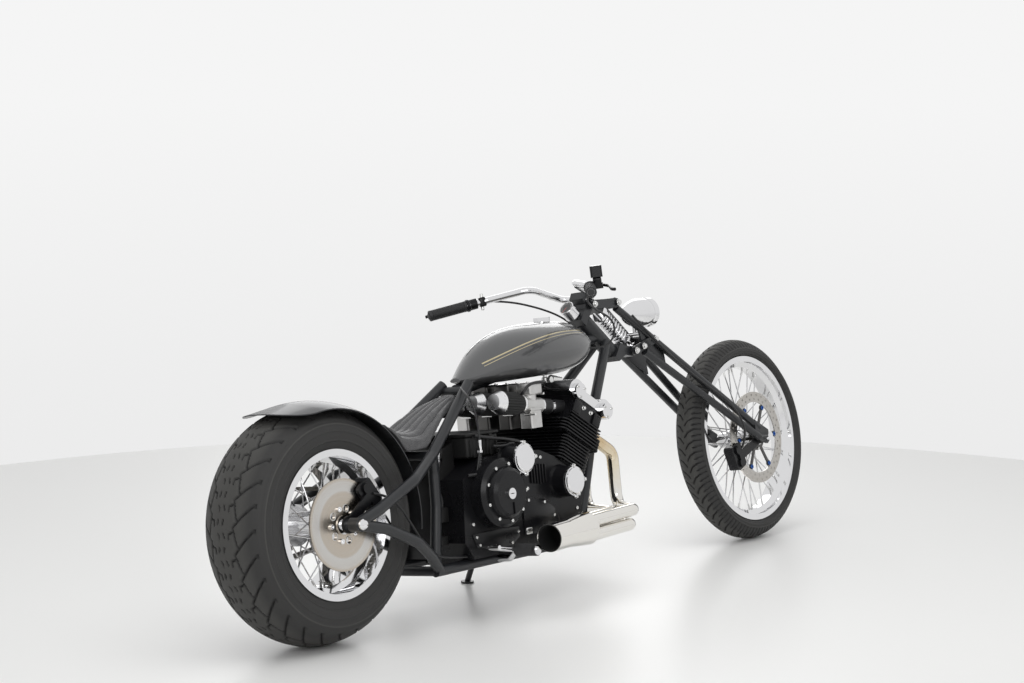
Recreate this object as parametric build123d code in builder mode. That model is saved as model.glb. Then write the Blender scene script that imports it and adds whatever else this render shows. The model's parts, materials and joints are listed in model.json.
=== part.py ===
"""Chopper motorcycle with a girder fork, an inline-four engine and a rigid tube frame.

Every piece is drawn upright and straight ahead: X forward from the rear axle, Y to the left,
Z up from the road, in millimetres. The finished pieces are then steered a little, leaned onto
the side stand and centred, which is how the motorcycle parks.
"""

import os
from functools import cache
from math import cos, degrees, radians, sin, sqrt

from build123d import *

# Parked stance
LEAN = 7.25
STEER = 3.2
WHEELBASE = 2081.0

# Fits
SEAT_GAP = 0.3
RUNNING_GAP = 0.05
CLEAR = 5.0

# Rear wheel
REAR_RIM_R = 206.0
REAR_RIM_W = 216.0
REAR_WALL = 124.0
REAR_TYRE_R = REAR_RIM_R + REAR_WALL
REAR_TYRE_W = 230.0
REAR_CROWN_R = 150.0
CALIPER_ROOM = 80.0
REAR_DISC_R = REAR_RIM_R - CALIPER_ROOM
REAR_DISC_Y = 123.0
REAR_FLANGE_R = 58.0
REAR_FLANGE_Y = 56.0

# Front wheel
FRONT_RIM_R = 280.0
FRONT_RIM_W = 84.0
FRONT_WALL = 60.0
FRONT_TYRE_R = FRONT_RIM_R + FRONT_WALL
FRONT_TYRE_W = 104.0
FRONT_CROWN_R = 52.0
FRONT_DISC_R = 155.0
FRONT_DISC_BAND = 35.0
DRILLED = 30
DRILL_R = 3.5
CARRIER_ARMS = 6
CARRIER_PAD_R = 10.0
FRONT_DISC_Y = 62.0
FRONT_FLANGE_R = 34.0
FRONT_FLANGE_Y = 32.0

# Wheel parts that are alike
AXLE_R = 10.0
DISC_T = 5.0
RIM_T = 5.0
WELL_DROP = 30.0
HUB_R = 26.0
FLANGE_T = 6.0
SPOKE_R = 2.2
SPOKES = 40
SPOKE_SWEEP = 38.0

# Chain drive on the left
CHAIN_Y = 138.0
CHAIN_W = 20.0
CHAIN_T = 13.0
SPROCKET_T = 7.0
REAR_SPROCKET_R = 92.0
DRIVE_SPROCKET_R = 36.0
DRIVE_SPROCKET_X = 530.0
DRIVE_SPROCKET_Z = 330.0
TOOTH_CLEAR = 1.5
REAR_TEETH = 36
DRIVE_TEETH = 14

# Frame tubes
TUBE_R = 16.0
BACKBONE_R = 19.0
CROSS_R = 14.0
LUG_R = 19.0
LUG_L = 36.0
STAY_Y = 178.0
RAIL_Y = 120.0
RAIL_Z = 148.0
RAIL_FRONT_X = 905.0
POST_X = 372.0
SEAT_TUBE_TOP = (648.0, 50.0, 658.0)
JUNCTION = (385.0, 120.0, 474.0)
BACKBONE_REAR = (645.0, 0.0, 638.0)
BACKBONE_FRONT = (1318.0, 0.0, 746.0)

# Steering head and girder fork
RAKE = 49.3
HEAD_TOP = (1268.6, 0.0, 802.0)
HEAD_L = 161.0
HEAD_R = 27.0
STEM_R = 14.0
PIVOT_R = 8.0
LINK_T = 7.0
UPPER_LINK_Y = 34.0
LOWER_LINK_Y = 42.0
UPPER_LINK = ((1284.0, 849.0), (1412.0, 847.0))
LOWER_LINK = ((1467.0, 687.0), (1510.0, 698.0), (1581.0, 716.0))
GIRDER_R = 12.5
FORK_END_Y = 104.0
FORK_END_T = 10.0
SHOCK_TOP = (1345.0, 832.0)

# Handlebar
BAR_R = 11.0
BAR_BORE_R = 8.0
BAR_BORE_L = 60.0
GRIP_R = 17.0
GRIP_L = 122.0
BAR_END = (906.0, 316.0, 876.0)
BAR_KNEE = (1052.0, 206.0, 901.6)
BAR_TOP = (1135.0, 85.0, 920.0)
BAR_CLAMP = (1269.0, 60.0, 872.0)

# Engine
CASE_Y = 165.0
CASE_LEFT_RECESS_Y = 118.0
BARREL_TILT = 31.0
BARREL_BASE = (935.0, 0.0, 375.0)
BARREL_H = 85.0
HEAD_H = 120.0
BANK_Y = 180.0
PORT_YS = (127.0, 42.0, -42.0, -127.0)
PIPE_R = 19.0
OUTLET_R = 41.0
FIN_T = 4.0
SUMP_L = 330.0
SUMP_W = 176.0
SUMP_DEPTH = 24.0
SUMP_X = 685.0

# Bodywork: the frame fixes the fender's nose and crown, and the rear axle follows from its radius
FENDER_NOSE_X = 338.0
FENDER_CROWN_Z = 668.0
FENDER_GAP = 8.0
FENDER_T = 3.0
FENDER_W = 250.0
FENDER_DROP = 25.0
FENDER_BACK = 8.0
FENDER_FRONT = 100.0
FENDER_TAIL = 118.0

# Side stand on the left
STAND_PIVOT = (850.0, 162.0, 138.0)
STAND_DOWN = (0.25, 0.60, -0.76)
STAND_FOLDED = (-0.97, 0.22, 0.0)
STAND_R = 9.0
STAND_FOOT_R = 20.0
STAND_FOOT_T = 6.0
STAND_EYE_R = 14.0
STAND_EYE_T = 20.0
STAND_PIN_R = 6.0

# Axes and centres worked out from the sizes above
ORIGIN = Vector(0, 0, 0)
FENDER_R = REAR_TYRE_R + FENDER_GAP
REAR_AXLE = Vector(FENDER_NOSE_X - FENDER_R, 0, FENDER_CROWN_Z - FENDER_R)
FRONT_AXLE = Vector(REAR_AXLE.X + WHEELBASE, 0, FRONT_TYRE_R)
HEAD_TOP_POINT = Vector(*HEAD_TOP)
STEER_UP = Vector(-sin(radians(RAKE)), 0, cos(radians(RAKE)))
STEER_AHEAD = Vector(cos(radians(RAKE)), 0, sin(radians(RAKE)))
STEER_SIDE = Plane(origin=HEAD_TOP, x_dir=STEER_AHEAD, z_dir=(0, -1, 0))
HEAD_LOW_POINT = HEAD_TOP_POINT - STEER_UP * HEAD_L
BARREL_UP = Vector(sin(radians(BARREL_TILT)), 0, cos(radians(BARREL_TILT)))
BARREL_AHEAD = Vector(cos(radians(BARREL_TILT)), 0, -sin(radians(BARREL_TILT)))
BARREL_PLANE = Plane(origin=BARREL_BASE, x_dir=BARREL_AHEAD, z_dir=BARREL_UP)
BARREL_SIDE = Plane(origin=BARREL_BASE, x_dir=BARREL_AHEAD, z_dir=(0, -1, 0))
STAND_POINT = Vector(*STAND_PIVOT)
STAND_LEG = Vector(*STAND_DOWN).normalized()
STAND_AXIS = STAND_LEG.cross(Vector(*STAND_FOLDED)).normalized()


def swing(point, pivot, direction, angle):
    """A point turned about a line through the pivot, in degrees by the right-hand rule."""
    return pivot + (point - pivot).rotate(Axis((0, 0, 0), direction), angle)


def steered(point):
    return swing(point, HEAD_TOP_POINT, STEER_UP, STEER)


def leaned(point, pitch):
    return swing(swing(point, ORIGIN, (1, 0, 0), -LEAN), ORIGIN, (0, 1, 0), pitch)


def tread_low(centre, axle, radius, crown):
    """Height of the lowest point of a round tread whose axle points along the given direction."""
    return centre.Z - (radius - crown) * sqrt(1 - axle.Z**2) - crown


def stance():
    """Pitch and lift that set both treads on the road once the bike is steered and leaned."""
    pitch = 0.0
    across = Vector(0, 1, 0)
    steered_axle = across.rotate(Axis((0, 0, 0), STEER_UP), STEER)
    for _ in range(6):
        rear = tread_low(leaned(REAR_AXLE, pitch), leaned(across, pitch), REAR_TYRE_R, REAR_CROWN_R)
        front_centre = leaned(steered(FRONT_AXLE), pitch)
        front = tread_low(front_centre, leaned(steered_axle, pitch), FRONT_TYRE_R, FRONT_CROWN_R)
        pitch += degrees((front - rear) / WHEELBASE)
    return pitch, -rear


PITCH, LIFT = stance()
UP_IN_FRAME = Vector(0, 0, 1).rotate(Axis.Y, -PITCH).rotate(Axis.X, LEAN)


def parked(shape, with_steering):
    """A finished piece moved from the drawing's upright place to where it parks."""
    if with_steering:
        shape = shape.rotate(Axis(HEAD_TOP_POINT, STEER_UP), STEER)
    return shape.rotate(Axis.X, -LEAN).rotate(Axis.Y, PITCH).translate((0, 0, LIFT))


def tube(points, radius, bend=0.0, mode=Mode.ADD):
    """Add one round tube along straight runs joined by arcs to the part being built."""
    with BuildLine() as run:
        if len(points) == 2:
            Line(*points)
        else:
            FilletPolyline(*points, radius=bend)
    with BuildSketch(Plane(origin=run.line @ 0, z_dir=run.line % 0)) as ring:
        Circle(radius)
    sweep(ring.sketch, path=run.line, mode=mode)


def turned(centre, outline, mode=Mode.ADD):
    """Add a body of revolution about a cross axle from its lateral and radial corners."""
    with BuildSketch(Plane(origin=centre, x_dir=(0, 1, 0), z_dir=(1, 0, 0))) as section:
        with BuildLine():
            Polyline(*outline, close=True)
        make_face()
    revolve(section.sketch, axis=Axis(centre, (0, 1, 0)), mode=mode)


def disc_on_side(x, z, radius, y_from, y_to, mode=Mode.ADD):
    """Add a round boss that points sideways."""
    tube([(x, y_from, z), (x, y_to, z)], radius, mode=mode)


def side_plate(corners, y_middle, thickness, mode=Mode.ADD):
    """Add a flat plate that stands fore and aft, from its corners in X and Z."""
    with BuildSketch(Plane(origin=(0, y_middle, 0), x_dir=(1, 0, 0), z_dir=(0, -1, 0))) as sheet:
        with BuildLine():
            Polyline(*corners, close=True)
        make_face()
    extrude(sheet.sketch, amount=thickness / 2, both=True, mode=mode)


# Wheels


def tyre(centre, radius, width, crown, rim_radius, rim_width):
    shoulder_y = 0.9 * width / 2
    shoulder_r = radius - crown + sqrt(crown**2 - shoulder_y**2)
    bead_y = rim_width / 2 - RIM_T
    bead_r = rim_radius + SEAT_GAP
    bulge = (width / 2, (shoulder_r + bead_r) / 2)
    with BuildPart() as casing:
        with BuildSketch(Plane(origin=centre, x_dir=(0, 1, 0), z_dir=(1, 0, 0))) as section:
            with BuildLine():
                ThreePointArc((-shoulder_y, shoulder_r), (0, radius), (shoulder_y, shoulder_r))
                ThreePointArc((shoulder_y, shoulder_r), bulge, (bead_y, bead_r))
                Line((bead_y, bead_r), (-bead_y, bead_r))
                ThreePointArc((-bead_y, bead_r), (-bulge[0], bulge[1]), (-shoulder_y, shoulder_r))
            make_face()
        revolve(section.sketch, axis=Axis(centre, (0, 1, 0)))
    return casing.part


def rim(centre, radius, width):
    """A drop-centre rim: flanges, bead seats and the well that the spokes pull on."""
    half = width / 2
    seat_r = radius - 14
    well_r = radius - WELL_DROP
    well_y = width / 5
    outer = [(-half, radius), (-half + RIM_T, radius), (-half + RIM_T, seat_r)]
    outer += [(-well_y - 12, seat_r), (-well_y, well_r), (well_y, well_r)]
    outer += [(well_y + 12, seat_r), (half - RIM_T, seat_r), (half - RIM_T, radius), (half, radius)]
    inner = [(half, seat_r - RIM_T), (well_y + 12, seat_r - RIM_T), (well_y, well_r - RIM_T)]
    inner += [(-well_y, well_r - RIM_T), (-well_y - 12, seat_r - RIM_T), (-half, seat_r - RIM_T)]
    with BuildPart() as hoop:
        turned(centre, outer + inner)
    return hoop.part


def wire_hub(centre, profile, flange_r, flange_y, rim_radius):
    """A turned hub with its laced spokes, which stop just short of the rim's well."""
    well_r = rim_radius - WELL_DROP - RIM_T
    start_r = flange_r - 4
    radial = Vector(sin(radians(SPOKE_SWEEP)), 0, cos(radians(SPOKE_SWEEP)))
    along = radial * well_r - Vector(0, 0.75 * flange_y, start_r)
    slant = sqrt(1 - along.normalized().dot(radial) ** 2)
    spoke_end_r = well_r - SEAT_GAP - SPOKE_R * slant
    planes = []
    for index in range(SPOKES):
        side = 1 if index % 2 else -1
        sweep_sign = 1 if (index // 2) % 2 else -1
        start_angle = radians(360 / SPOKES * (index - index % 2))
        end_angle = start_angle + sweep_sign * radians(SPOKE_SWEEP)
        start_y = side * (flange_y + sweep_sign * FLANGE_T / 2)
        start = centre + Vector(sin(start_angle) * start_r, start_y, cos(start_angle) * start_r)
        end_y = side * (flange_y / 4 + sweep_sign * FLANGE_T / 2)
        end = centre + Vector(sin(end_angle) * spoke_end_r, end_y, cos(end_angle) * spoke_end_r)
        planes.append(Plane(origin=start, z_dir=end - start))
    length = (end - start).length
    with BuildPart() as hub:
        turned(centre, profile)
        with BuildSketch(*planes):
            RegularPolygon(SPOKE_R, 6)
        extrude(amount=length)
    return hub.part


def hub_profile(right, left, disc_seat, disc_y, flange_r, flange_y):
    """Hub corners from the right end to the left: disc seat, barrel and two spoke flanges."""
    bore = AXLE_R + RUNNING_GAP
    inner = flange_y - FLANGE_T / 2
    outer = flange_y + FLANGE_T / 2
    upper = [(-right, bore), (-right, HUB_R), (-disc_y, HUB_R), (-disc_y, disc_seat)]
    upper += [(-disc_y + FLANGE_T, disc_seat), (-disc_y + FLANGE_T, HUB_R)]
    upper += [(-outer, HUB_R), (-outer, flange_r), (-inner, flange_r), (-inner, HUB_R)]
    upper += [(inner, HUB_R), (inner, flange_r), (outer, flange_r), (outer, HUB_R)]
    return upper + [(left, HUB_R), (left, bore)]


REAR_HUB_RIGHT = REAR_DISC_Y + DISC_T + 3
REAR_HUB_LEFT = CHAIN_Y + SPROCKET_T / 2 + 4
FRONT_HUB_END = FRONT_DISC_Y + DISC_T + 8


def rear_tyre():
    return tyre(REAR_AXLE, REAR_TYRE_R, REAR_TYRE_W, REAR_CROWN_R, REAR_RIM_R, REAR_RIM_W)


def rear_rim():
    return rim(REAR_AXLE, REAR_RIM_R, REAR_RIM_W)


def rear_hub():
    profile = hub_profile(
        REAR_HUB_RIGHT, REAR_HUB_LEFT, REAR_FLANGE_R, REAR_DISC_Y, REAR_FLANGE_R, REAR_FLANGE_Y
    )
    return wire_hub(REAR_AXLE, profile, REAR_FLANGE_R, REAR_FLANGE_Y, REAR_RIM_R)


def brake_disc(centre, radius, y, window_count, window_r):
    """A brake disc on the right with a ring of round windows about the hub."""
    with BuildPart() as disc:
        with BuildSketch(Plane(origin=centre - Vector(0, y, 0), x_dir=(1, 0, 0), z_dir=(0, -1, 0))):
            Circle(radius)
            Circle(HUB_R + SEAT_GAP, mode=Mode.SUBTRACT)
            with PolarLocations(HUB_R + 2.2 * window_r, window_count):
                Circle(window_r, mode=Mode.SUBTRACT)
        extrude(amount=DISC_T)
    return disc.part


def rear_disc():
    return brake_disc(REAR_AXLE, REAR_DISC_R, REAR_DISC_Y, 5, 9.0)


def sprocket(x, z, radius, teeth, hole_r, windows):
    """A toothed ring: the gaps between the teeth are the chain's rollers."""
    roller_r = 0.28 * 2 * 3.1416 * radius / teeth
    with BuildPart() as ring:
        with BuildSketch(Plane(origin=(x, CHAIN_Y, z), x_dir=(1, 0, 0), z_dir=(0, -1, 0))):
            Circle(radius)
            with PolarLocations(radius, teeth):
                Circle(roller_r, mode=Mode.SUBTRACT)
            Circle(hole_r, mode=Mode.SUBTRACT)
            if windows:
                with PolarLocations(0.6 * radius, windows):
                    Circle(0.17 * radius, mode=Mode.SUBTRACT)
        extrude(amount=SPROCKET_T / 2, both=True)
    return ring.part


def rear_sprocket():
    return sprocket(REAR_AXLE.X, REAR_AXLE.Z, REAR_SPROCKET_R, REAR_TEETH, HUB_R + SEAT_GAP, 6)


def front_tyre():
    return tyre(FRONT_AXLE, FRONT_TYRE_R, FRONT_TYRE_W, FRONT_CROWN_R, FRONT_RIM_R, FRONT_RIM_W)


def front_rim():
    return rim(FRONT_AXLE, FRONT_RIM_R, FRONT_RIM_W)


def front_hub():
    profile = hub_profile(
        FRONT_HUB_END, FRONT_HUB_END, FRONT_FLANGE_R, FRONT_DISC_Y, FRONT_FLANGE_R, FRONT_FLANGE_Y
    )
    return wire_hub(FRONT_AXLE, profile, FRONT_FLANGE_R, FRONT_FLANGE_Y, FRONT_RIM_R)


def front_disc():
    """A drilled brake band that floats on its carrier."""
    inner = FRONT_DISC_R - FRONT_DISC_BAND
    plane = Plane(origin=FRONT_AXLE - Vector(0, FRONT_DISC_Y, 0), x_dir=(1, 0, 0), z_dir=(0, -1, 0))
    with BuildPart() as band:
        with BuildSketch(plane):
            Circle(FRONT_DISC_R)
            Circle(inner, mode=Mode.SUBTRACT)
            for row, turn in ((0.3, 0.0), (0.7, 180 / DRILLED)):
                with PolarLocations(inner + row * FRONT_DISC_BAND, DRILLED, start_angle=turn):
                    Circle(DRILL_R, mode=Mode.SUBTRACT)
        extrude(amount=DISC_T)
    return band.part


def front_carrier():
    """The bright spider between the front hub and the brake band."""
    reach = FRONT_DISC_R - FRONT_DISC_BAND - SEAT_GAP
    plane = Plane(origin=FRONT_AXLE - Vector(0, FRONT_DISC_Y, 0), x_dir=(1, 0, 0), z_dir=(0, -1, 0))
    with BuildPart() as spider:
        with BuildSketch(plane):
            Circle(FRONT_FLANGE_R + CARRIER_PAD_R)
            with PolarLocations(0, CARRIER_ARMS):
                with Locations((reach / 2, 0)):
                    Rectangle(reach - 2 * CARRIER_PAD_R, CARRIER_PAD_R)
                with Locations((reach - CARRIER_PAD_R, 0)):
                    Circle(CARRIER_PAD_R)
            Circle(HUB_R + SEAT_GAP, mode=Mode.SUBTRACT)
        extrude(amount=DISC_T)
    return spider.part


# Frame


@cache
def axle_lugs():
    with BuildPart() as lugs:
        disc_on_side(REAR_AXLE.X, REAR_AXLE.Z, LUG_R, STAY_Y - LUG_L / 2, STAY_Y + LUG_L / 2)
        disc_on_side(REAR_AXLE.X, REAR_AXLE.Z, AXLE_R + RUNNING_GAP, 0, 2 * STAY_Y, mode=Mode.SUBTRACT)
        mirror(about=Plane.XZ)
    return lugs.part


def lug_room():
    """Cut the left axle lug's round place out of the part being built."""
    ends = STAY_Y - LUG_L / 2, STAY_Y + LUG_L / 2
    disc_on_side(REAR_AXLE.X, REAR_AXLE.Z, LUG_R, *ends, mode=Mode.SUBTRACT)


@cache
def seat_stays():
    """One tube a side from the tank's tail past the seat to the rear axle."""
    flare = (250.0, STAY_Y - 6, 420.0)
    low = (90.0, STAY_Y, 358.0)
    with BuildPart() as stays:
        tube([SEAT_TUBE_TOP, JUNCTION, flare, low, (REAR_AXLE.X, STAY_Y, REAR_AXLE.Z)], TUBE_R, 60)
        lug_room()
        mirror(about=Plane.XZ)
    return stays.part


@cache
def frame_spine():
    """Head tube, backbone under the tank and the bar that joins the seat tubes."""
    with BuildPart() as spine:
        tube([BACKBONE_FRONT, BACKBONE_REAR], BACKBONE_R)
        x, _, z = BACKBONE_REAR
        tube([(x, -SEAT_TUBE_TOP[1], z), (x, SEAT_TUBE_TOP[1], z)], CROSS_R)
        tube([HEAD_TOP_POINT, HEAD_LOW_POINT], HEAD_R)
        stretch = STEER_UP * 2
        ends = [HEAD_TOP_POINT + stretch, HEAD_LOW_POINT - stretch]
        tube(ends, STEM_R + RUNNING_GAP, mode=Mode.SUBTRACT)
        add(seat_stays(), mode=Mode.SUBTRACT)
    return spine.part


@cache
def lower_rails():
    """Rails under the engine, the left one with the side stand's boss and pin."""
    boss_back = STAND_POINT - STAND_AXIS * 34
    boss_face = STAND_POINT - STAND_AXIS * (STAND_EYE_T / 2 + SEAT_GAP)
    pin_head = STAND_POINT + STAND_AXIS * (STAND_EYE_T / 2 + SEAT_GAP)
    pin_end = pin_head + STAND_AXIS * 6
    boss_middle = (boss_back + boss_face) * 0.5
    with BuildPart() as rails:
        tube([(POST_X - 20, RAIL_Y, RAIL_Z), (RAIL_FRONT_X, RAIL_Y, RAIL_Z)], TUBE_R)
        mirror(about=Plane.XZ)
        tube([(STAND_POINT.X, RAIL_Y, RAIL_Z), boss_middle], STAND_EYE_R - 3)
        tube([boss_back, boss_face], STAND_EYE_R)
        tube([boss_face, pin_head], STAND_PIN_R)
        tube([pin_head, pin_end], STAND_PIN_R + 4)
    return rails.part


@cache
def rear_posts():
    inside_chain = CHAIN_Y - CHAIN_W / 2 - CLEAR - TUBE_R - 3
    hip = (403.0, inside_chain, 424.0)
    knee = (400.0, inside_chain, 330.0)
    with BuildPart() as posts:
        tube([JUNCTION, hip, knee, (POST_X, inside_chain, RAIL_Z)], TUBE_R, 40)
        mirror(about=Plane.XZ)
        add(seat_stays(), mode=Mode.SUBTRACT)
        add(lower_rails(), mode=Mode.SUBTRACT)
    return posts.part


@cache
def lower_stays():
    bend_a = (110.0, STAY_Y, 304.0)
    bend_b = (235.0, STAY_Y, 248.0)
    bend_c = (310.0, 150.0, 200.0)
    end = (POST_X, RAIL_Y, RAIL_Z)
    with BuildPart() as stays:
        tube([(REAR_AXLE.X, STAY_Y, REAR_AXLE.Z), bend_a, bend_b, bend_c, end], TUBE_R, 70)
        lug_room()
        mirror(about=Plane.XZ)
        add(seat_stays(), mode=Mode.SUBTRACT)
        add(lower_rails(), mode=Mode.SUBTRACT)
        add(rear_posts(), mode=Mode.SUBTRACT)
    return stays.part


@cache
def downtubes():
    toe = (1000.0, RAIL_Y, RAIL_Z)
    shin = (1130.0, 85.0, 380.0)
    knee = (1190.0, 85.0, 560.0)
    top = (1352.0, 22.0, 726.0)
    with BuildPart() as tubes:
        tube([(RAIL_FRONT_X, RAIL_Y, RAIL_Z), toe, shin, knee, top], TUBE_R, 60)
        mirror(about=Plane.XZ)
        tube([HEAD_TOP_POINT, HEAD_LOW_POINT], HEAD_R, mode=Mode.SUBTRACT)
        add(frame_spine(), mode=Mode.SUBTRACT)
    return tubes.part


@cache
def cross_tubes():
    """Cross members at the seat junction and under the engine, and the fender's post."""
    x, y, z = JUNCTION
    toward = (REAR_AXLE - Vector(x, 0, z)).normalized()
    reach = (REAR_AXLE - Vector(x, 0, z)).length - FENDER_R - FENDER_T - SEAT_GAP
    with BuildPart() as bars:
        tube([(x, -y, z), (x, y, z)], CROSS_R)
        tube([Vector(x, 0, z), Vector(x, 0, z) + toward * reach], 10)
        tube([(POST_X - 12, -RAIL_Y, RAIL_Z), (POST_X - 12, RAIL_Y, RAIL_Z)], CROSS_R)
        for other in (seat_stays(), rear_posts(), lower_rails(), lower_stays()):
            add(other, mode=Mode.SUBTRACT)
    return bars.part


@cache
def rear_axle():
    """Axle, spacers between hub and lugs, and domed nuts."""
    lug_in = STAY_Y - LUG_L / 2 - SEAT_GAP
    lug_out = STAY_Y + LUG_L / 2 + SEAT_GAP
    spacer_r = AXLE_R + 6
    nut_r = AXLE_R + 5
    right = [(-lug_out - 18, 0), (-lug_out - 14, nut_r - 4), (-lug_out - 8, nut_r), (-lug_out, nut_r)]
    right += [(-lug_out, AXLE_R), (-lug_in, AXLE_R), (-lug_in, spacer_r)]
    right += [(-REAR_HUB_RIGHT - SEAT_GAP, spacer_r), (-REAR_HUB_RIGHT - SEAT_GAP, AXLE_R)]
    left = [(REAR_HUB_LEFT + SEAT_GAP, AXLE_R), (REAR_HUB_LEFT + SEAT_GAP, spacer_r)]
    left += [(lug_in, spacer_r), (lug_in, AXLE_R), (lug_out, AXLE_R), (lug_out, nut_r)]
    left += [(lug_out + 8, nut_r), (lug_out + 14, nut_r - 4), (lug_out + 18, 0)]
    with BuildPart() as axle:
        turned(REAR_AXLE, right + left)
    return axle.part


# Engine


def barrel_point(ahead, y, up):
    """A point in the tilted cylinder bank: forward of its axis, to the left, above its base."""
    return Vector(*BARREL_BASE) + BARREL_AHEAD * ahead + Vector(0, y, 0) + BARREL_UP * up


CASE_FLOOR = RAIL_Z + TUBE_R + SEAT_GAP
CASE_CORNERS = [(440.0, 215.0), (475.0, CASE_FLOOR), (890.0, CASE_FLOOR), (965.0, 220.0), (998.0, 300.0)]
CASE_CORNERS += [(barrel_point(v, 0, 0).X, barrel_point(v, 0, 0).Z) for v in (70, -80)]
CASE_CORNERS += [(800.0, 442.0), (560.0, 448.0), (455.0, 395.0)]


@cache
def crankcase():
    """The case, recessed on the left for the drive sprocket, with an oil pan between the rails."""
    with BuildPart() as case:
        side_plate(CASE_CORNERS, 0, 2 * CASE_Y)
        recess = [(400.0, 100.0), (620.0, 100.0), (620.0, 500.0), (400.0, 500.0)]
        depth = CASE_Y - CASE_LEFT_RECESS_Y
        side_plate(recess, CASE_LEFT_RECESS_Y + depth, 2 * depth, mode=Mode.SUBTRACT)
        with BuildSketch(Plane(origin=(SUMP_X, 0, CASE_FLOOR), x_dir=(1, 0, 0), z_dir=(0, 0, -1))):
            RectangleRounded(SUMP_L, SUMP_W, 24)
        extrude(amount=SUMP_DEPTH, taper=10)
    return case.part


CLUTCH = (580.0, 342.0)
CLUTCH_DEPTH = 72.0
LOWER_CAP = (882.0, 338.0)
LOWER_CAP_DEPTH = 52.0
UPPER_CAP = (660.0, 432.0)
UPPER_CAP_DEPTH = 56.0
GENERATOR = (850.0, 330.0)

# Covers: centre ahead and up, side, then steps of reach and radius
COVERS = [
    (CLUTCH, -1, [(0, 100), (40, 100), (50, 90), (50, 76), (CLUTCH_DEPTH - 8, 72), (CLUTCH_DEPTH, 62)]),
    (LOWER_CAP, -1, [(0, 51), (10, 47), (LOWER_CAP_DEPTH, 45)]),
    (UPPER_CAP, -1, [(0, 48), (10, 44), (UPPER_CAP_DEPTH, 43)]),
    (GENERATOR, 1, [(0, 78), (32, 78), (40, 70), (40, 60), (50, 60), (56, 52)]),
]


def side_covers():
    """Clutch cover and bosses on the right, generator cover on the left."""
    face = CASE_Y + SEAT_GAP
    slot = [(CLUTCH[0] + x, CLUTCH[1] + z) for x, z in ((-22, -62), (6, -62), (6, -28), (-22, -28))]
    with BuildPart() as covers:
        for (x, z), side, steps in COVERS:
            outline = [(0, 0)] + steps + [(steps[-1][0], 0)]
            turned(Vector(x, 0, z), [(side * (face + out), radius) for out, radius in outline])
        side_plate(slot, -face - CLUTCH_DEPTH, 8, mode=Mode.SUBTRACT)
    return covers.part


def chrome_caps():
    """Bright round covers on the right of the case, and the camshafts' end caps."""
    face = CASE_Y + 2 * SEAT_GAP
    end = BANK_Y + SEAT_GAP
    with BuildPart() as caps:
        for (x, z), depth in ((LOWER_CAP, LOWER_CAP_DEPTH), (UPPER_CAP, UPPER_CAP_DEPTH)):
            seat_y = -face - depth
            with BuildSketch(Plane(origin=(x, seat_y, z), x_dir=(1, 0, 0), z_dir=(0, -1, 0))):
                Circle(44)
                with Locations((0, 45), (0, -45), (45, 0)):
                    Circle(7)
            extrude(amount=7)
            turned(Vector(x, seat_y - 7, z), [(0, 0), (0, 41), (-4, 40), (-7, 36), (-7, 0)])
        disc_on_side(CLUTCH[0] - 8, CLUTCH[1] - 2, 16, -face - CLUTCH_DEPTH, -face - CLUTCH_DEPTH - 8)
        for ahead in (-CAM_AHEAD, CAM_AHEAD):
            for side in (1, -1):
                start = barrel_point(ahead, side * end, CAM_UP)
                stop = barrel_point(ahead, side * (end + 16), CAM_UP)
                tube([start, stop], 24)
    return caps.part


CAM_AHEAD = 70.0
CAM_UP = 218.0
CAM_HUMP_R = 36.0


@cache
def barrels():
    """The cylinder block: a core and its cooling fins."""
    with BuildPart() as block:
        with BuildSketch(BARREL_PLANE.offset(SEAT_GAP)):
            Rectangle(104, 2 * BANK_Y - 20)
        extrude(amount=BARREL_H - SEAT_GAP)
        with BuildSketch(*[BARREL_PLANE.offset(5 + 10 * row) for row in range(8)]):
            RectangleRounded(136, 2 * BANK_Y, 18)
        extrude(amount=FIN_T)
    return block.part


@cache
def cylinder_head():
    with BuildPart() as head:
        with BuildSketch(BARREL_PLANE.offset(BARREL_H + SEAT_GAP)):
            Rectangle(140, 2 * BANK_Y - 10)
        extrude(amount=HEAD_H - SEAT_GAP)
        with BuildSketch(*[BARREL_PLANE.offset(BARREL_H + 3 + 10 * row) for row in range(4)]):
            RectangleRounded(186, 2 * BANK_Y + 14, 20)
        extrude(amount=FIN_T)
    return head.part


def cam_cover():
    """Twin humps over the camshafts with a valley between."""
    low = BARREL_H + HEAD_H + SEAT_GAP
    with BuildPart() as cover:
        with BuildSketch(BARREL_SIDE):
            with Locations((0, low + 14)):
                Rectangle(2 * CAM_AHEAD, 28)
            with Locations((-CAM_AHEAD, CAM_UP), (CAM_AHEAD, CAM_UP)):
                Circle(CAM_HUMP_R)
            with Locations((0, low - 100)):
                Rectangle(400, 200, mode=Mode.SUBTRACT)
        extrude(amount=BANK_Y, both=True)
    return cover.part


INTAKE_DIR = Vector(-0.989, 0, 0.144).normalized()
CARB_POINT = Vector(826.0, 0, 574.0)


def on_intake(distance, y):
    """A point on one inlet's centre line, from the carburettor towards the filter."""
    return CARB_POINT + INTAKE_DIR * distance + Vector(0, y, 0)


CARB_HALF = 40.0
FILTER_END = 166.0
PLEATS = 24
PLEAT_ANGLES = [radians(180 / PLEATS * step) for step in range(2 * PLEATS)]
PLEAT_RADII = [34.0, 30.0] * PLEATS
PLEAT_STAR = [(r * cos(angle), r * sin(angle)) for r, angle in zip(PLEAT_RADII, PLEAT_ANGLES)]


def carburettors():
    with BuildPart() as carbs:
        for y in PORT_YS:
            tube([on_intake(-CARB_HALF, y), on_intake(CARB_HALF, y)], 24)
            low = on_intake(0, y)
            tube([low, low + Vector(0, 0, 66)], 21)
            with BuildSketch(Plane(origin=low - Vector(0, 0, 68))):
                RectangleRounded(52, 48, 8)
            extrude(amount=60)
    return carbs.part


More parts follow.
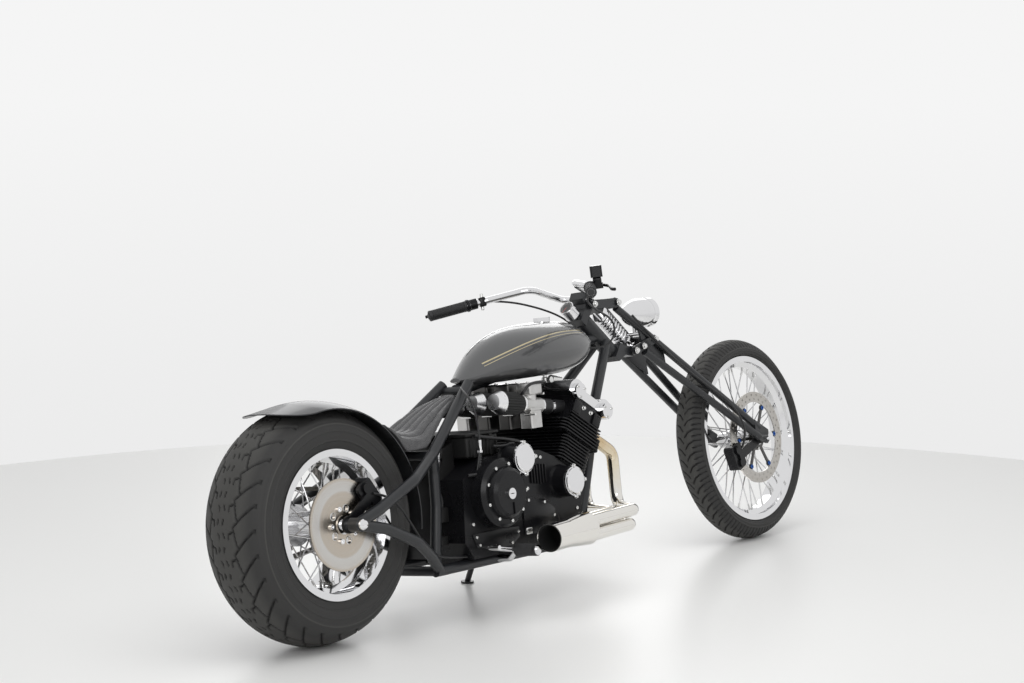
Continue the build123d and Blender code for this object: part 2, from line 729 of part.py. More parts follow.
def intake_boots():
    with BuildPart() as boots:
        for y in PORT_YS:
            tube([on_intake(-CARB_HALF - SEAT_GAP, y), on_intake(-190, y)], 22)
        add(cylinder_head(), mode=Mode.SUBTRACT)
        with BuildSketch(BARREL_SIDE) as past:
            with Locations((0, 160)):
                Rectangle(138, 200)
        extrude(past.sketch, amount=2 * BANK_Y, both=True, mode=Mode.SUBTRACT)
    return boots.part


def filter_pleats():
    """Pleated filter bodies, one behind each carburettor."""
    with BuildPart() as pleats:
        for y in PORT_YS:
            tube([on_intake(CARB_HALF + SEAT_GAP, y), on_intake(CARB_HALF + 22, y)], 28)
            with BuildSketch(Plane(origin=on_intake(CARB_HALF + 22, y), x_dir=(0, 1, 0), z_dir=INTAKE_DIR)):
                with BuildLine():
                    Polyline(*PLEAT_STAR, close=True)
                make_face()
            extrude(amount=FILTER_END - 28 - CARB_HALF - 22)
    return pleats.part


def filter_ends():
    with BuildPart() as ends:
        for y in PORT_YS:
            start = on_intake(FILTER_END - 28 + SEAT_GAP, y)
            with BuildSketch(Plane(origin=start, z_dir=INTAKE_DIR)):
                Circle(35)
            with BuildSketch(Plane(origin=start + INTAKE_DIR * 28, z_dir=INTAKE_DIR)):
                Circle(24)
            loft()
    return ends.part


# Exhaust

OUTLET = Vector(650.0, -300.0, 200.0)
BUNCH_AHEAD = Vector(1040.0, -243.0, 201.0)
BUNCH_DIR = (OUTLET - BUNCH_AHEAD).normalized()
BUNCH_ACROSS = Vector(0, 0, 1).cross(BUNCH_DIR).normalized() * -1
BUNCH_UP = BUNCH_ACROSS.cross(BUNCH_DIR)
COLLECTOR_L = 205.0
SLOT = 20.5

# Header columns: port across, drop ahead, slot across and up in the bunch, turn ahead
HEADERS = [
    (127.0, 1150.0, 1, -1, 10.0),
    (42.0, 1195.0, -1, -1, 55.0),
    (-42.0, 1150.0, 1, 1, 20.0),
    (-127.0, 1195.0, -1, 1, 75.0),
]


@cache
def exhaust_headers():
    with BuildPart() as headers:
        for port_y, drop_x, slot_y, slot_z, turn_x in HEADERS:
            shift = BUNCH_ACROSS * (slot_y * SLOT) + BUNCH_UP * (slot_z * SLOT)
            start = barrel_point(70 + SEAT_GAP, port_y, 147)
            run = (drop_x - start.X) / BARREL_AHEAD.X
            elbow = start + BARREL_AHEAD * run
            turn = BUNCH_AHEAD - BUNCH_DIR * turn_x + shift
            low = Vector(drop_x, port_y, turn.Z)
            end = OUTLET - BUNCH_DIR * (COLLECTOR_L + SEAT_GAP) + shift
            tube([start, elbow, low, turn, end], PIPE_R, [45, 45, 45])
    return headers.part


def collector():
    """The cone that gathers the pipes and the open outlet."""
    back = OUTLET - BUNCH_DIR * COLLECTOR_L
    with BuildPart() as cone:
        with BuildSketch(Plane(origin=back, z_dir=BUNCH_DIR)):
            Circle(50)
        with BuildSketch(Plane(origin=back + BUNCH_DIR * 110, z_dir=BUNCH_DIR)):
            Circle(OUTLET_R)
        loft()
        tube([back + BUNCH_DIR * 110, OUTLET], OUTLET_R)
        tube([OUTLET - BUNCH_DIR * 90, OUTLET], OUTLET_R - 3, mode=Mode.SUBTRACT)
    return cone.part


# Bodywork

# Tank sections: ahead, half width, bottom, top
TANK_SECTIONS = [
    (646.0, 20.0, 663.0, 676.0),
    (720.0, 66.0, 652.0, 728.0),
    (850.0, 116.0, 651.0, 797.0),
    (1000.0, 138.0, 653.0, 815.0),
    (1110.0, 130.0, 668.0, 812.0),
    (1180.0, 98.0, 700.0, 796.0),
    (1208.0, 55.0, 728.0, 772.0),
]


def backbone_z(x):
    (x0, _, z0), (x1, _, z1) = BACKBONE_REAR, BACKBONE_FRONT
    return z0 + (z1 - z0) * (x - x0) / (x1 - x0)


@cache
def fuel_tank():
    """A teardrop lofted through a few sections, tunnelled for the backbone."""
    with BuildPart() as tank:
        for x, half, low, high in TANK_SECTIONS:
            middle = low + 0.42 * (high - low)
            skirt = low + 0.12 * (high - low)
            with BuildSketch(Plane(origin=(x, 0, 0), x_dir=(0, 1, 0), z_dir=(1, 0, 0))):
                with BuildLine():
                    ThreePointArc((-half, middle), (0, high), (half, middle))
                    ThreePointArc((half, middle), (0.88 * half, skirt), (0.55 * half, low))
                    Line((0.55 * half, low), (-0.55 * half, low))
                    ThreePointArc((-0.55 * half, low), (-0.88 * half, skirt), (-half, middle))
                make_face()
        loft()
        first = TANK_SECTIONS[0][0] - 10
        last = TANK_SECTIONS[-1][0] + 10
        slope = (backbone_z(last) - backbone_z(first)) / (last - first)
        roof = (BACKBONE_R + SEAT_GAP) * sqrt(1 + slope**2)
        tunnel = [(first, backbone_z(first) + roof), (last, backbone_z(last) + roof)]
        tunnel += [(last, 500.0), (first, 500.0)]
        side_plate(tunnel, 0, 2 * (BACKBONE_R + CLEAR), mode=Mode.SUBTRACT)
    return tank.part


def fuel_cap():
    base = Vector(1070.0, 0, 812.0)
    with BuildPart() as cap:
        tube([base, base + Vector(0, 0, 14)], 26)
        add(fuel_tank(), mode=Mode.SUBTRACT)
    return cap.part


@cache
def rear_fender():
    """A crowned strip round the tyre with a straight tail."""
    start = radians(-FENDER_BACK)
    ahead = Vector(cos(start), 0, -sin(start))
    half = FENDER_W / 2
    edge = FENDER_R - FENDER_DROP
    section_plane = Plane(origin=REAR_AXLE, x_dir=(0, 1, 0), z_dir=ahead)
    with BuildPart() as fender:
        with BuildSketch(section_plane) as section:
            with BuildLine():
                ThreePointArc((-half, edge), (0, FENDER_R), (half, edge))
                Line((half, edge), (half, edge + FENDER_T))
                ThreePointArc((half, edge + FENDER_T), (0, FENDER_R + FENDER_T), (-half, edge + FENDER_T))
                Line((-half, edge + FENDER_T), (-half, edge))
            make_face()
        turn = FENDER_BACK + FENDER_FRONT
        revolve(section.sketch, axis=Axis(REAR_AXLE, (0, 1, 0)), revolution_arc=turn)
        extrude(section.sketch, amount=FENDER_TAIL, dir=ahead * -1)
        tail_x = REAR_AXLE.X - sin(radians(FENDER_BACK)) * FENDER_R
        with BuildSketch(Plane.XY.offset(REAR_AXLE.Z)) as corners:
            with Locations((tail_x - FENDER_TAIL, 0)):
                Rectangle(FENDER_TAIL * 2, FENDER_W * 1.2)
            with Locations((tail_x, 0)):
                Ellipse(FENDER_TAIL * 0.99, half, mode=Mode.SUBTRACT)
        extrude(corners.sketch, amount=2 * FENDER_R, mode=Mode.SUBTRACT)
    return fender.part


SEAT_TAIL_T = 17.4

# Seat plan: ahead, half width
SEAT_PLAN = [
    (238.0, 84.0),
    (262.0, 104.0),
    (330.0, 112.0),
    (400.0, 106.0),
    (485.0, 82.0),
    (560.0, 52.0),
    (616.0, 28.0),
]


def seat():
    """A thin saddle from the fender up between the seat tubes to the tank's tail."""
    rise = (SEAT_TUBE_TOP[2] - JUNCTION[2]) / (SEAT_TUBE_TOP[0] - JUNCTION[0])
    above = (TUBE_R + SEAT_GAP) * sqrt(1 + rise**2)

    def over_tube(x):
        return JUNCTION[2] + (x - JUNCTION[0]) * rise + above

    def over_fender(x):
        return REAR_AXLE.Z + sqrt((FENDER_R + FENDER_T + SEAT_GAP) ** 2 - (x - REAR_AXLE.X) ** 2)

    tail_x = SEAT_PLAN[0][0]
    tail_low = over_fender(tail_x)
    tail_top = tail_low + SEAT_TAIL_T
    with BuildPart() as saddle:
        with BuildSketch(Plane(origin=(0, 0, 0), x_dir=(1, 0, 0), z_dir=(0, -1, 0))):
            with BuildLine():
                ThreePointArc((618, 636), (510, 600), (400, 546))
                ThreePointArc((400, 546), (325, 544), (tail_x, tail_top))
                Line((tail_x, tail_top), (tail_x, tail_low))
                ThreePointArc((tail_x, tail_low), (272, over_fender(272)), (300, over_fender(300)))
                hollow = [(300, over_fender(300)), (384, over_tube(384)), (490, over_tube(490))]
                Polyline(*hollow, (618, 606), (618, 636))
            make_face()
        extrude(amount=FENDER_W / 2, both=True)
        with BuildSketch() as plan:
            with BuildLine():
                right = [(x, -y) for x, y in reversed(SEAT_PLAN)]
                Polyline(*SEAT_PLAN, *right, close=True)
            make_face()
        extrude(plan.sketch, amount=800, mode=Mode.INTERSECT)
    return saddle.part


def battery_box():
    x0, z0 = CASE_CORNERS[-1]
    x1, z1 = CASE_CORNERS[-2]
    rise = (z1 - z0) / (x1 - x0)
    foot = SEAT_GAP * sqrt(1 + rise**2)
    far = x0 + 58
    corners = [(x0 - 22, z0 + foot), (x0 + 2, z0 + 2 * rise + foot), (far, z0 + 58 * rise + foot)]
    corners += [(far, 500.0), (x0 - 22, 470.0)]
    with BuildPart() as box:
        side_plate(corners, 0, 170)
    return box.part


# Chain, brakes and controls


def chain():
    """The closed loop of chain, clear of the sprocket teeth inside it."""
    rear = (REAR_AXLE.X, REAR_AXLE.Z)
    drive = (DRIVE_SPROCKET_X, DRIVE_SPROCKET_Z)
    plane = Plane(origin=(0, CHAIN_Y, 0), x_dir=(1, 0, 0), z_dir=(0, -1, 0))
    with BuildPart() as loop:
        with BuildSketch(plane):
            for grow, mode in ((CHAIN_T, Mode.ADD), (0, Mode.SUBTRACT)):
                with BuildSketch(mode=Mode.PRIVATE) as outline:
                    with Locations(rear):
                        Circle(REAR_SPROCKET_R + TOOTH_CLEAR + grow)
                    with Locations(drive):
                        Circle(DRIVE_SPROCKET_R + SEAT_GAP + grow)
                    make_hull()
                add(outline.sketch, mode=mode)
        extrude(amount=CHAIN_W / 2, both=True)
    return loop.part


def drive_sprocket():
    with BuildPart() as drive:
        add(sprocket(DRIVE_SPROCKET_X, DRIVE_SPROCKET_Z, DRIVE_SPROCKET_R, DRIVE_TEETH, 8, 0))
        shaft_start = CASE_LEFT_RECESS_Y + SEAT_GAP
        disc_on_side(DRIVE_SPROCKET_X, DRIVE_SPROCKET_Z, 12, shaft_start, CHAIN_Y + 12)
    return drive.part


def caliper(axle, angle, disc_r, disc_y, inner_y, bracket_y, bore_r):
    """A caliper astride a disc on the right, on a bracket that hangs from the axle."""
    out = Vector(cos(radians(angle)), 0, sin(radians(angle)))
    face = Plane(origin=axle - Vector(0, inner_y, 0), x_dir=out, z_dir=(0, -1, 0))
    depth = bracket_y - inner_y
    slot = disc_y - inner_y - CLEAR
    with BuildPart() as body:
        with BuildSketch(face):
            with Locations((disc_r - 6, 0)):
                RectangleRounded(58, 84, 12)
        extrude(amount=depth)
        with BuildSketch(face.offset(slot)):
            Circle(disc_r + CLEAR)
        extrude(amount=DISC_T + 2 * CLEAR, mode=Mode.SUBTRACT)
        with BuildSketch(face.offset(depth)):
            with Locations((disc_r / 2, 0)):
                Rectangle(disc_r, 30)
            Circle(bore_r + 8)
            Circle(bore_r + SEAT_GAP, mode=Mode.SUBTRACT)
            with Locations((disc_r - 6, 23), (disc_r - 6, -23)):
                Circle(15)
        extrude(amount=7)
    return body.part


def rear_caliper():
    return caliper(REAR_AXLE, 36, REAR_DISC_R, REAR_DISC_Y, 104, 144, AXLE_R + 6)


def foot_controls():
    """Foot pegs on the rails, each with its pedal arm."""
    peg_x, peg_z = 612.0, 172.0
    start = (peg_x, RAIL_Y, RAIL_Z)
    with BuildPart() as pegs:
        tube([start, (peg_x, 177, RAIL_Z), (peg_x, 202, peg_z), (peg_x, 290, peg_z)], 10, 14)
        disc_on_side(peg_x, peg_z, 15, 206, 286)
        tube([(peg_x, 202, peg_z), (488, 204, 196), (488, 250, 196)], 7, 14)
        mirror(about=Plane.XZ)
        add(lower_rails(), mode=Mode.SUBTRACT)
    return pegs.part


def side_stand():
    """The leg, its eye on the pin and its foot flat on the road."""
    drop = (STAND_POINT.dot(UP_IN_FRAME) + LIFT - STAND_FOOT_T / 2) / -STAND_LEG.dot(UP_IN_FRAME)
    foot = STAND_POINT + STAND_LEG * drop
    half_eye = STAND_AXIS * (STAND_EYE_T / 2)
    with BuildPart() as stand:
        tube([STAND_POINT - half_eye, STAND_POINT + half_eye], STAND_EYE_R)
        tube([STAND_POINT + STAND_LEG * 8, foot], STAND_R)
        with BuildSketch(Plane(origin=foot, z_dir=UP_IN_FRAME)):
            Circle(STAND_FOOT_R)
        extrude(amount=STAND_FOOT_T / 2, both=True)
        below = Plane(origin=foot - UP_IN_FRAME * (STAND_FOOT_T / 2), z_dir=UP_IN_FRAME * -1)
        with BuildSketch(below):
            Circle(3 * STAND_FOOT_R)
        extrude(amount=3 * STAND_R, mode=Mode.SUBTRACT)
        hole = [STAND_POINT - half_eye * 4, STAND_POINT + half_eye * 4]
        tube(hole, STAND_PIN_R + RUNNING_GAP, mode=Mode.SUBTRACT)
    return stand.part


# Steering


@cache
def fork_links():
    """Two rocking links, each a pair of plates on their cross pins."""
    with BuildPart() as links:
        for eyes, y in ((UPPER_LINK, UPPER_LINK_Y), (LOWER_LINK, LOWER_LINK_Y)):
            first, last = eyes[0], eyes[-1]
            for side in (y + LINK_T / 2, -y - LINK_T / 2):
                with BuildSketch(Plane(origin=(0, side, 0), x_dir=(1, 0, 0), z_dir=(0, -1, 0))) as plate:
                    with Locations(first, last):
                        Circle(14)
                    make_hull()
                extrude(plate.sketch, amount=LINK_T / 2, both=True)
            for x, z in eyes:
                disc_on_side(x, z, PIVOT_R, -y - LINK_T - 6, y + LINK_T + 6)
    return links.part


def cut_pivots():
    """Cut the cross pins' running holes in the part being built."""
    for x, z in (*UPPER_LINK, *LOWER_LINK):
        disc_on_side(x, z, PIVOT_R + RUNNING_GAP, -60, 60, mode=Mode.SUBTRACT)


def steering_local(x, z):
    gap = Vector(x, 0, z) - HEAD_TOP_POINT
    return gap.dot(STEER_AHEAD), gap.dot(STEER_UP)


@cache
def upper_yoke():
    """Top yoke: clamps the stem, carries the upper link, the shock and the bar risers."""
    pivot = steering_local(*UPPER_LINK[0])
    shock = steering_local(*SHOCK_TOP)
    bar = steering_local(BAR_CLAMP[0], BAR_CLAMP[2])
    stem_top = HEAD_TOP_POINT + STEER_UP * 36
    with BuildPart() as yoke:
        with BuildSketch(STEER_SIDE):
            with BuildLine():
                Polyline((-24, 1), (26, 1), (pivot[0] + 4, 1), (shock[0] - 10, shock[1] - 10),
                         (shock[0] + 12, shock[1] - 8), (shock[0] + 12, shock[1] + 10),
                         (pivot[0] + 26, 20), (bar[0] + 17, bar[1] - 4), (bar[0] + 12, bar[1] + 17),
                         (bar[0] - 14, bar[1] + 15), (bar[0] - 18, bar[1] - 8), (22, 32), (-24, 32),
                         close=True)
            make_face()
        extrude(amount=26, both=True)
        tube([HEAD_TOP_POINT - STEER_UP, stem_top], STEM_R + RUNNING_GAP, mode=Mode.SUBTRACT)
        disc_on_side(BAR_CLAMP[0], BAR_CLAMP[2], BAR_R + RUNNING_GAP, -60, 60, mode=Mode.SUBTRACT)
        cut_pivots()
    return yoke.part


@cache
def lower_yoke():
    """Stem through the head tube, and the arm that carries the lower link."""
    pivot = steering_local(*LOWER_LINK[0])
    top = -HEAD_L - 1
    with BuildPart() as yoke:
        with BuildSketch(STEER_SIDE):
            with BuildLine():
                Polyline((-26, top), (28, top), (34, top - 20), (pivot[0] + 14, pivot[1] + 4),
                         (pivot[0] + 8, pivot[1] - 14), (pivot[0] - 12, pivot[1] - 12), (10, top - 40),
                         (-26, top - 24), close=True)
            make_face()
        extrude(amount=LOWER_LINK_Y - 6, both=True)
        tube([HEAD_LOW_POINT - STEER_UP * 5, HEAD_TOP_POINT + STEER_UP * 34], STEM_R)
        cut_pivots()
    return yoke.part


FRONT_TUBE_TOP = (1423.0, 24.0, 831.0)
FRONT_TUBE_LOW = (FRONT_AXLE.X - 35.0, 100.0, FRONT_AXLE.Z + 33.0)
REAR_TUBE_TOP = (1520.0, 46.0, 680.0)
REAR_TUBE_LOW = (FRONT_AXLE.X - 41.0, 102.0, FRONT_AXLE.Z + 3.0)
GUSSET_FRONT = ((1508.0, -4.512), (1632.0, 12.6469))  # place along, and height above the tube's middle
GUSSET_REAR = ((1640.0, 1.7692), (1528.0, -6.8154))


def beside_tube(top, low, x, above):
    """A point in side view at x, a little above or below the middle of a sloping tube."""
    return x, top[2] + (x - top[0]) * (low[2] - top[2]) / (low[0] - top[0]) + above


@cache
def girder_legs():
    """One welded leg a side: front and rear tube, gusset and the plate that holds the axle."""
    lower_x, lower_z = LOWER_LINK[2]
    axle_x, axle_z = FRONT_AXLE.X, FRONT_AXLE.Z
    front = [beside_tube(FRONT_TUBE_TOP, FRONT_TUBE_LOW, *corner) for corner in GUSSET_FRONT]
    rear = [beside_tube(REAR_TUBE_TOP, REAR_TUBE_LOW, *corner) for corner in GUSSET_REAR]
    gusset = [front[0], (lower_x, lower_z + 16), front[1], *rear]
    fork_end = [(axle_x - 62, axle_z + 62), (axle_x + 12, axle_z + 22), (axle_x + 20, axle_z - 10)]
    fork_end += [(axle_x, axle_z - 24), (axle_x - 70, axle_z + 6)]
    with BuildPart() as legs:
        tube([FRONT_TUBE_TOP, FRONT_TUBE_LOW], GIRDER_R)
        tube([REAR_TUBE_TOP, REAR_TUBE_LOW], GIRDER_R)
        side_plate(gusset, 38, 6)
        side_plate(fork_end, FORK_END_Y, FORK_END_T)
        disc_on_side(axle_x, axle_z, AXLE_R + RUNNING_GAP, 0, 200, mode=Mode.SUBTRACT)
        cut_pivots()
        mirror(about=Plane.XZ)
        add(fork_links(), mode=Mode.SUBTRACT)
    return legs.part


def girder_bosses():
    """Cross bosses that the links' front pins turn in."""
    upper_x, upper_z = UPPER_LINK[1]
    lower_x, lower_z = LOWER_LINK[2]
    with BuildPart() as bosses:
        disc_on_side(upper_x, upper_z, 17, -UPPER_LINK_Y + 1, UPPER_LINK_Y - 1)
        disc_on_side(lower_x, lower_z, 16, -LOWER_LINK_Y + 1, LOWER_LINK_Y - 1)
        cut_pivots()
        add(girder_legs(), mode=Mode.SUBTRACT)
    return bosses.part


def front_axle():
    inner = FORK_END_Y - FORK_END_T / 2 - SEAT_GAP
    outer = FORK_END_Y + FORK_END_T / 2 + SEAT_GAP
    hub = FRONT_HUB_END + SEAT_GAP
    half = [(outer + 14, 0), (outer + 14, AXLE_R + 5), (outer, AXLE_R + 5), (outer, AXLE_R)]
    half += [(inner, AXLE_R), (inner, AXLE_R + 5), (hub, AXLE_R + 5), (hub, AXLE_R)]
    left = [(-y, r) for y, r in half]
    with BuildPart() as axle:
        turned(FRONT_AXLE, left + list(reversed(half)))
    return axle.part


SHOCK_LOW = LOWER_LINK[1]
SHOCK_DIR = (Vector(SHOCK_LOW[0], 0, SHOCK_LOW[1]) - Vector(SHOCK_TOP[0], 0, SHOCK_TOP[1])).normalized()
SPRING_START = 34.0
SPRING_L = 124.0
SPRING_COILS = 8
SPRING_R = 23.0
SPRING_WIRE_R = 4.5


def on_shock(distance):
    return Vector(SHOCK_TOP[0], 0, SHOCK_TOP[1]) + SHOCK_DIR * distance


def fork_shock():
    """Damper body and rod, its eye on the lower link's middle pin."""
    length = (Vector(SHOCK_LOW[0], 0, SHOCK_LOW[1]) - Vector(SHOCK_TOP[0], 0, SHOCK_TOP[1])).length
    with BuildPart() as shock:
        tube([on_shock(0), on_shock(length)], 13)
        tube([on_shock(SPRING_START - 8), on_shock(SPRING_START - SEAT_GAP)], 28)
        spring_end = SPRING_START + SPRING_L + SEAT_GAP
        tube([on_shock(spring_end), on_shock(spring_end + 8)], 28)
        disc_on_side(*SHOCK_LOW, 15, -20, 20)
        cut_pivots()
        add(upper_yoke(), mode=Mode.SUBTRACT)
        add(lower_yoke(), mode=Mode.SUBTRACT)
    return shock.part


def fork_spring():
    """A coil round the damper, wound from one collar to the other."""
    rise = SPRING_L - 2 * SPRING_WIRE_R
    start = on_shock(SPRING_START + SPRING_WIRE_R)
    with BuildPart() as spring:
        with BuildLine() as coil:
            Helix(rise / SPRING_COILS, rise, SPRING_R, center=start, direction=SHOCK_DIR)
        with BuildSketch(Plane(origin=coil.line @ 0, z_dir=coil.line % 0)) as wire:
            Circle(SPRING_WIRE_R)
        sweep(wire.sketch, path=coil.line, is_frenet=True)
    return spring.part


@cache
def handlebar():
    """One bent tube from grip to grip through the riser clamp, bored at both ends."""
    path = [BAR_END, BAR_KNEE, BAR_TOP, BAR_CLAMP]
    path += [(x, -y, z) for x, y, z in reversed(path)]
    end = Vector(*BAR_END)
    inward = (Vector(*BAR_KNEE) - end).normalized()
    with BuildPart() as bar:
        tube(path, BAR_R, [100, 60, 38, 38, 60, 100])
        tube([end, end + inward * BAR_BORE_L], BAR_BORE_R, mode=Mode.SUBTRACT)
        across = Vector(end.X, -end.Y, end.Z)
        inward_right = Vector(inward.X, -inward.Y, inward.Z)
        tube([across, across + inward_right * BAR_BORE_L], BAR_BORE_R, mode=Mode.SUBTRACT)
    return bar.part


GRIP_DIR = (Vector(*BAR_KNEE) - Vector(*BAR_END)).normalized()
LEVER_OUT = Vector(0, 0, 1).cross(GRIP_DIR).normalized()


def on_grip(distance, out=0.0, up=0.0):
    """A point along the left grip from its outer end, out towards the lever, and up."""
    return Vector(*BAR_END) + GRIP_DIR * distance + LEVER_OUT * out + Vector(0, 0, up)


def grips():
    with BuildPart() as rubbers:
        tube([on_grip(0), on_grip(GRIP_L)], GRIP_R)
        tube([on_grip(-1), on_grip(GRIP_L + 1)], BAR_R + RUNNING_GAP, mode=Mode.SUBTRACT)
        mirror(about=Plane.XZ)
    return rubbers.part


def lever_perch():
    """Add a left-hand clamp, pivot block and curved lever to the part being built."""
    clamp = GRIP_L + 24
    tube([on_grip(clamp - 11), on_grip(clamp + 11)], BAR_R + 6)
    tube([on_grip(clamp, 8), on_grip(clamp, 40)], 9)
    tube([on_grip(clamp + 4, 44), on_grip(clamp - 40, 58), on_grip(20, 62), on_grip(4, 70)], 5, 20)
    add(handlebar(), mode=Mode.SUBTRACT)


def clutch_control():
    with BuildPart() as control:
        lever_perch()
    return control.part


def brake_control():
    """Master cylinder, its fluid box and the brake lever, on the right."""
    clamp = GRIP_L + 24
    with BuildPart() as control:
        lever_perch()
        tube([on_grip(clamp + 40, 26, 8), on_grip(clamp - 20, 26, 8)], 11)
        with BuildSketch(Plane(origin=on_grip(clamp, 24, 26), x_dir=GRIP_DIR)):
            RectangleRounded(48, 36, 6)
        extrude(amount=34)
        tube([on_grip(clamp, 24, 8), on_grip(clamp, 24, 27)], 8)
        add(handlebar(), mode=Mode.SUBTRACT)
    return mirror(control.part, about=Plane.XZ)


HEADLIGHT_X = 1560.0
HEADLIGHT_RISE = 75.7159  # above the middle of the front tubes
HEADLIGHT_Z = beside_tube(FRONT_TUBE_TOP, FRONT_TUBE_LOW, HEADLIGHT_X, HEADLIGHT_RISE)[1]
HEADLIGHT = Vector(HEADLIGHT_X, 0, HEADLIGHT_Z)
HEADLIGHT_R = 48.0


def headlight_shell():
    """A bullet shell on a stem from a strap between the front tubes."""
    with BuildPart() as shell:
        with BuildSketch(Plane(origin=HEADLIGHT, x_dir=(1, 0, 0), z_dir=(0, -1, 0))) as section:
            with BuildLine():
                Line((-80, 0), (70, 0))
                Line((70, 0), (70, HEADLIGHT_R))
                Line((70, HEADLIGHT_R), (56, HEADLIGHT_R))
                Line((56, HEADLIGHT_R), (50, HEADLIGHT_R - 3))
                ThreePointArc((50, HEADLIGHT_R - 3), (-40, 33), (-80, 0))
            make_face()
        revolve(section.sketch, axis=Axis(HEADLIGHT, (1, 0, 0)))
        strap_x, strap_z = beside_tube(FRONT_TUBE_TOP, FRONT_TUBE_LOW, HEADLIGHT.X - 14, 0)
        tube([(strap_x, 0, strap_z), (strap_x, 0, HEADLIGHT.Z - 20)], 7)
        tube([(strap_x, -40, strap_z), (strap_x, 40, strap_z)], 7)
        add(girder_legs(), mode=Mode.SUBTRACT)
    return shell.part.solids().sort_by(SortBy.VOLUME)[-1]


def headlight_lens():
    face = HEADLIGHT + Vector(70 + SEAT_GAP, 0, 0)
    with BuildPart() as lens:
        tube([face, face + Vector(4, 0, 0)], HEADLIGHT_R - 4)
    return lens.part


SPEEDO = Vector(1206.0, 0, 838.0)


def speedometer():
    """A small round clock on an arm from the top yoke."""
    facing = Vector(-0.75, 0, 0.66).normalized()
    with BuildPart() as clock:
        tube([SPEEDO - facing * 22, SPEEDO + facing * 14], 25)
        tube([SPEEDO - facing * 10, Vector(*HEAD_TOP) + STEER_UP * 20], 7)
        add(upper_yoke(), mode=Mode.SUBTRACT)
        add(lower_yoke(), mode=Mode.SUBTRACT)
    return clock.part.solids().sort_by(SortBy.VOLUME)[-1]


def front_caliper():
    return caliper(FRONT_AXLE, 200, FRONT_DISC_R, FRONT_DISC_Y, 44, 79.5, AXLE_R + 5)


# Node name, maker and body, in building order
PIECES = [
    (frame_spine, "frame"),
    (seat_stays, "frame"),
    (rear_posts, "frame"),
    (lower_stays, "frame"),
    (lower_rails, "frame"),
    (downtubes, "frame"),
    (cross_tubes, "frame"),
    (axle_lugs, "frame"),
    (rear_axle, "frame"),
    (crankcase, "frame"),
    (side_covers, "frame"),
    (chrome_caps, "frame"),
    (barrels, "frame"),
    (cylinder_head, "frame"),
    (cam_cover, "frame"),
    (carburettors, "frame"),
    (intake_boots, "frame"),
    (filter_pleats, "frame"),
    (filter_ends, "frame"),
    (exhaust_headers, "frame"),
    (collector, "frame"),
    (fuel_tank, "frame"),
    (fuel_cap, "frame"),
    (rear_fender, "frame"),
    (seat, "frame"),
    (battery_box, "frame"),
    (chain, "frame"),
    (drive_sprocket, "frame"),
    (rear_caliper, "frame"),
    (foot_controls, "frame"),
    (rear_tyre, "rear_wheel"),
    (rear_rim, "rear_wheel"),
    (rear_hub, "rear_wheel"),
    (rear_disc, "rear_wheel"),
    (rear_sprocket, "rear_wheel"),
    (lower_yoke, "steering"),
    (upper_yoke, "steering"),
    (fork_links, "steering"),
    (girder_legs, "steering"),
    (girder_bosses, "steering"),
    (fork_shock, "steering"),
    (fork_spring, "steering"),
    (front_axle, "steering"),
    (front_caliper, "steering"),
    (handlebar, "steering"),
    (grips, "steering"),
    (brake_control, "steering"),
    (clutch_control, "steering"),
    (headlight_shell, "steering"),
    (headlight_lens, "steering"),
    (speedometer, "steering"),
    (front_tyre, "front_wheel"),
    (front_rim, "front_wheel"),
    (front_hub, "front_wheel"),
    (front_disc, "front_wheel"),
    (front_carrier, "front_wheel"),
    (side_stand, "side_stand"),
]
STEERED = ("steering", "front_wheel")


def assemble():
    """Every piece parked and centred over the origin, with the shift that centred it."""
    placed = {}
    for maker, body in PIECES:
        placed[maker.__name__] = parked(maker(), body in STEERED)
    boxes = [piece.bounding_box() for piece in placed.values()]
    reach_x = min(box.min.X for box in boxes) + max(box.max.X for box in boxes)
    reach_y = min(box.min.Y for box in boxes) + max(box.max.Y for box in boxes)
    shift = Vector(-reach_x / 2, -reach_y / 2, 0)
    return {name: piece.translate(shift) for name, piece in placed.items()}, shift


if __name__ == "__main__":
    os.makedirs("parts", exist_ok=True)
    pieces, _ = assemble()
    for name, piece in pieces.items():
        piece.label = name
        export_step(piece, f"parts/{name}.step")
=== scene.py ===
# %% [markdown]
# # A chopper motorcycle, dressed in Blender
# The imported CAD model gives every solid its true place. This lesson loads it as a fixed frame and
# adds what CAD leaves plain: tread, leather, stitching, bolts, links, cables and paint.
# Each new piece is told which moving body it rides on, so wheels turn and bars steer with their looks.

# %% Load the frame
import json
import math
from contextlib import contextmanager

import bpy
import numpy as np
from mathutils import Matrix, Vector


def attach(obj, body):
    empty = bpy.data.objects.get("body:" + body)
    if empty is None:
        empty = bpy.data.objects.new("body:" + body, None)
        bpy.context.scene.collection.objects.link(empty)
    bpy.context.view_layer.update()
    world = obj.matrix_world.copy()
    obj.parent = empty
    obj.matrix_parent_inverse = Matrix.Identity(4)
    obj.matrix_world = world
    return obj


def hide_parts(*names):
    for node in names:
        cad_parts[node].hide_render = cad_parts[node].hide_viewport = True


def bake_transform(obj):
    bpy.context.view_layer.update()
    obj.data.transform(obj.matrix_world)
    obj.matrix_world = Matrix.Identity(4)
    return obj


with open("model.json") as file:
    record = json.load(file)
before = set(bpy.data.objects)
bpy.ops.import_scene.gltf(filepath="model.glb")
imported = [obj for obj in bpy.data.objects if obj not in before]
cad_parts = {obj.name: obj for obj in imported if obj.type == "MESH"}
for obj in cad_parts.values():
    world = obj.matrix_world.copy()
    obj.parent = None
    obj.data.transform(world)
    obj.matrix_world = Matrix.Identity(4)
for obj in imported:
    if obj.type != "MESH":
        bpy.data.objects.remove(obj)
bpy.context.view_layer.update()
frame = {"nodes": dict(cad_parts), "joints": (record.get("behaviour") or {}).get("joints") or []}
nodes = frame["nodes"]

